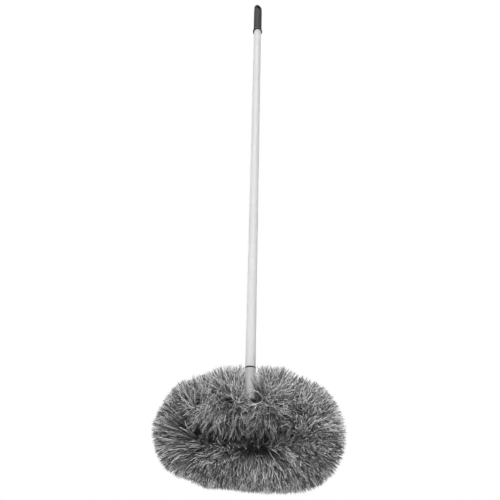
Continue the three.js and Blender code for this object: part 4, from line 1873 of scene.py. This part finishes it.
@dataclass
class Studio:
    """Camera at the photograph's viewpoint, lamps in front, above and behind, and a pale floor."""

    eye: tuple[float, float, float] = (-0.0068, -1.181, -1.7285)
    rise: float = math.radians(33.615)
    roll: float = math.radians(1.4)
    focal_pixels: float = 600.0
    image_pixels: float = 500.0
    sensor: float = 36.0
    clip: tuple[float, float] = (0.01, 100.0)
    lamps: tuple[Lamp, ...] = (
        Lamp("key", (-0.12, -0.86, 0.75), 1.85, 20.0),
        Lamp("above", (-0.08, -0.1, 1.0), 2.0, 40.0),
        Lamp("rear", (0.0, 0.85, 0.6), 0.8, 40.0),
    )
    white: tuple[float, float, float, float] = (1.0, 1.0, 1.0, 1.0)
    world_light: float = 0.12
    floor_height: float = -2.2
    floor_radius: float = 8.0
    floor_sides: int = 64
    floor_color: Color = (0.74, 0.74, 0.74)
    floor_roughness: float = 0.8
    fade: tuple[float, float] = (2.3, 4.0)

    def camera(self) -> None:
        """Aim the camera up along +Y, its top tilted left so that the pole's top leans right."""
        forward = Vector((0, math.cos(self.rise), math.sin(self.rise)))
        above = Vector((0, -math.sin(self.rise), math.cos(self.rise)))
        right = Vector((1, 0, 0))
        up = above * math.cos(self.roll) - right * math.sin(self.roll)
        across = right * math.cos(self.roll) + above * math.sin(self.roll)
        data = bpy.data.cameras.new("camera")
        data.sensor_width = self.sensor
        data.lens = self.sensor * self.focal_pixels / self.image_pixels
        data.clip_start, data.clip_end = self.clip
        camera = bpy.data.objects.new("camera", data)
        turn = Matrix((across, up, -forward)).transposed().to_4x4()
        camera.matrix_world = Matrix.Translation(self.eye) @ turn
        bpy.context.scene.collection.objects.link(camera)
        bpy.context.scene.camera = camera

    def seen(self, tree: bpy.types.NodeTree) -> bpy.types.NodeSocket:
        """One for rays that show the background: from the camera, off gloss or through glass.

        Args:
            tree: Tree that takes the nodes.

        Returns:
            The result socket.
        """
        path = tree.nodes.new("ShaderNodeLightPath")
        shown = math_node(tree, "MAXIMUM", path.outputs["Is Camera Ray"], path.outputs["Is Glossy Ray"])
        return math_node(tree, "MAXIMUM", shown, path.outputs["Is Transmission Ray"])

    def world(self) -> None:
        """White where it is seen, and a plain even light for everything else."""
        world = bpy.data.worlds.new("studio")
        world.use_nodes = True
        tree = world.node_tree
        tree.nodes.clear()
        white = add_node(tree, "ShaderNodeBackground", Color=self.white, Strength=1.0)
        light = add_node(tree, "ShaderNodeBackground", Color=self.white, Strength=self.world_light)
        mixed = mix_shader(tree, self.seen(tree), light, white)
        add_node(tree, "ShaderNodeOutputWorld", Surface=mixed)
        bpy.context.scene.world = world

    def floor(self) -> None:
        """Pale round floor that fades to the white of the background."""
        ring = np.linspace(0, 2 * np.pi, self.floor_sides, endpoint=False)
        rim = self.floor_radius * np.column_stack([np.cos(ring), np.sin(ring)])
        points = np.column_stack([rim, np.full(self.floor_sides, self.floor_height)])
        floor = put_mesh("floor", points, np.arange(self.floor_sides), np.array([self.floor_sides]))
        material = bpy.data.materials.new("pale_floor")
        material.use_nodes = True
        tree = material.node_tree
        shader = tree.nodes["Principled BSDF"]
        shader.inputs["Base Color"].default_value = (*self.floor_color, 1.0)
        shader.inputs["Roughness"].default_value = self.floor_roughness
        place = add_node(tree, "ShaderNodeTexCoord").outputs["Object"]
        away = add_node(tree, "ShaderNodeVectorMath", Vector=place)
        away.operation = "LENGTH"
        near, far = self.fade
        fade = add_node(tree, "ShaderNodeMapRange", Value=away.outputs["Value"], From_Min=near, From_Max=far)
        white = add_node(tree, "ShaderNodeEmission", Color=self.white, Strength=1.0)
        faded = math_node(tree, "MULTIPLY", fade.outputs[0], self.seen(tree))
        mixed = mix_shader(tree, faded, shader, white)
        tree.links.new(mixed, tree.nodes["Material Output"].inputs["Surface"])
        floor.data.materials.append(material)

    def build(self) -> None:
        """Set the view, the camera, the lamps, the world and the floor."""
        bpy.context.scene.view_settings.view_transform = "Standard"
        self.camera()
        for lamp in self.lamps:
            lamp.build()
        self.world()
        self.floor()


def main() -> None:
    """Build the duster piece by piece, then the studio."""
    logging.basicConfig(level=logging.INFO, format="%(name)s: %(message)s")
    Grip().build()
    pole = Pole()
    pole.build()
    Socket(pole).build()
    loop = CoreLoop()
    loop.build()
    FibreHead(loop).build()
    Studio().build()


if __name__ == "__main__":
    main()
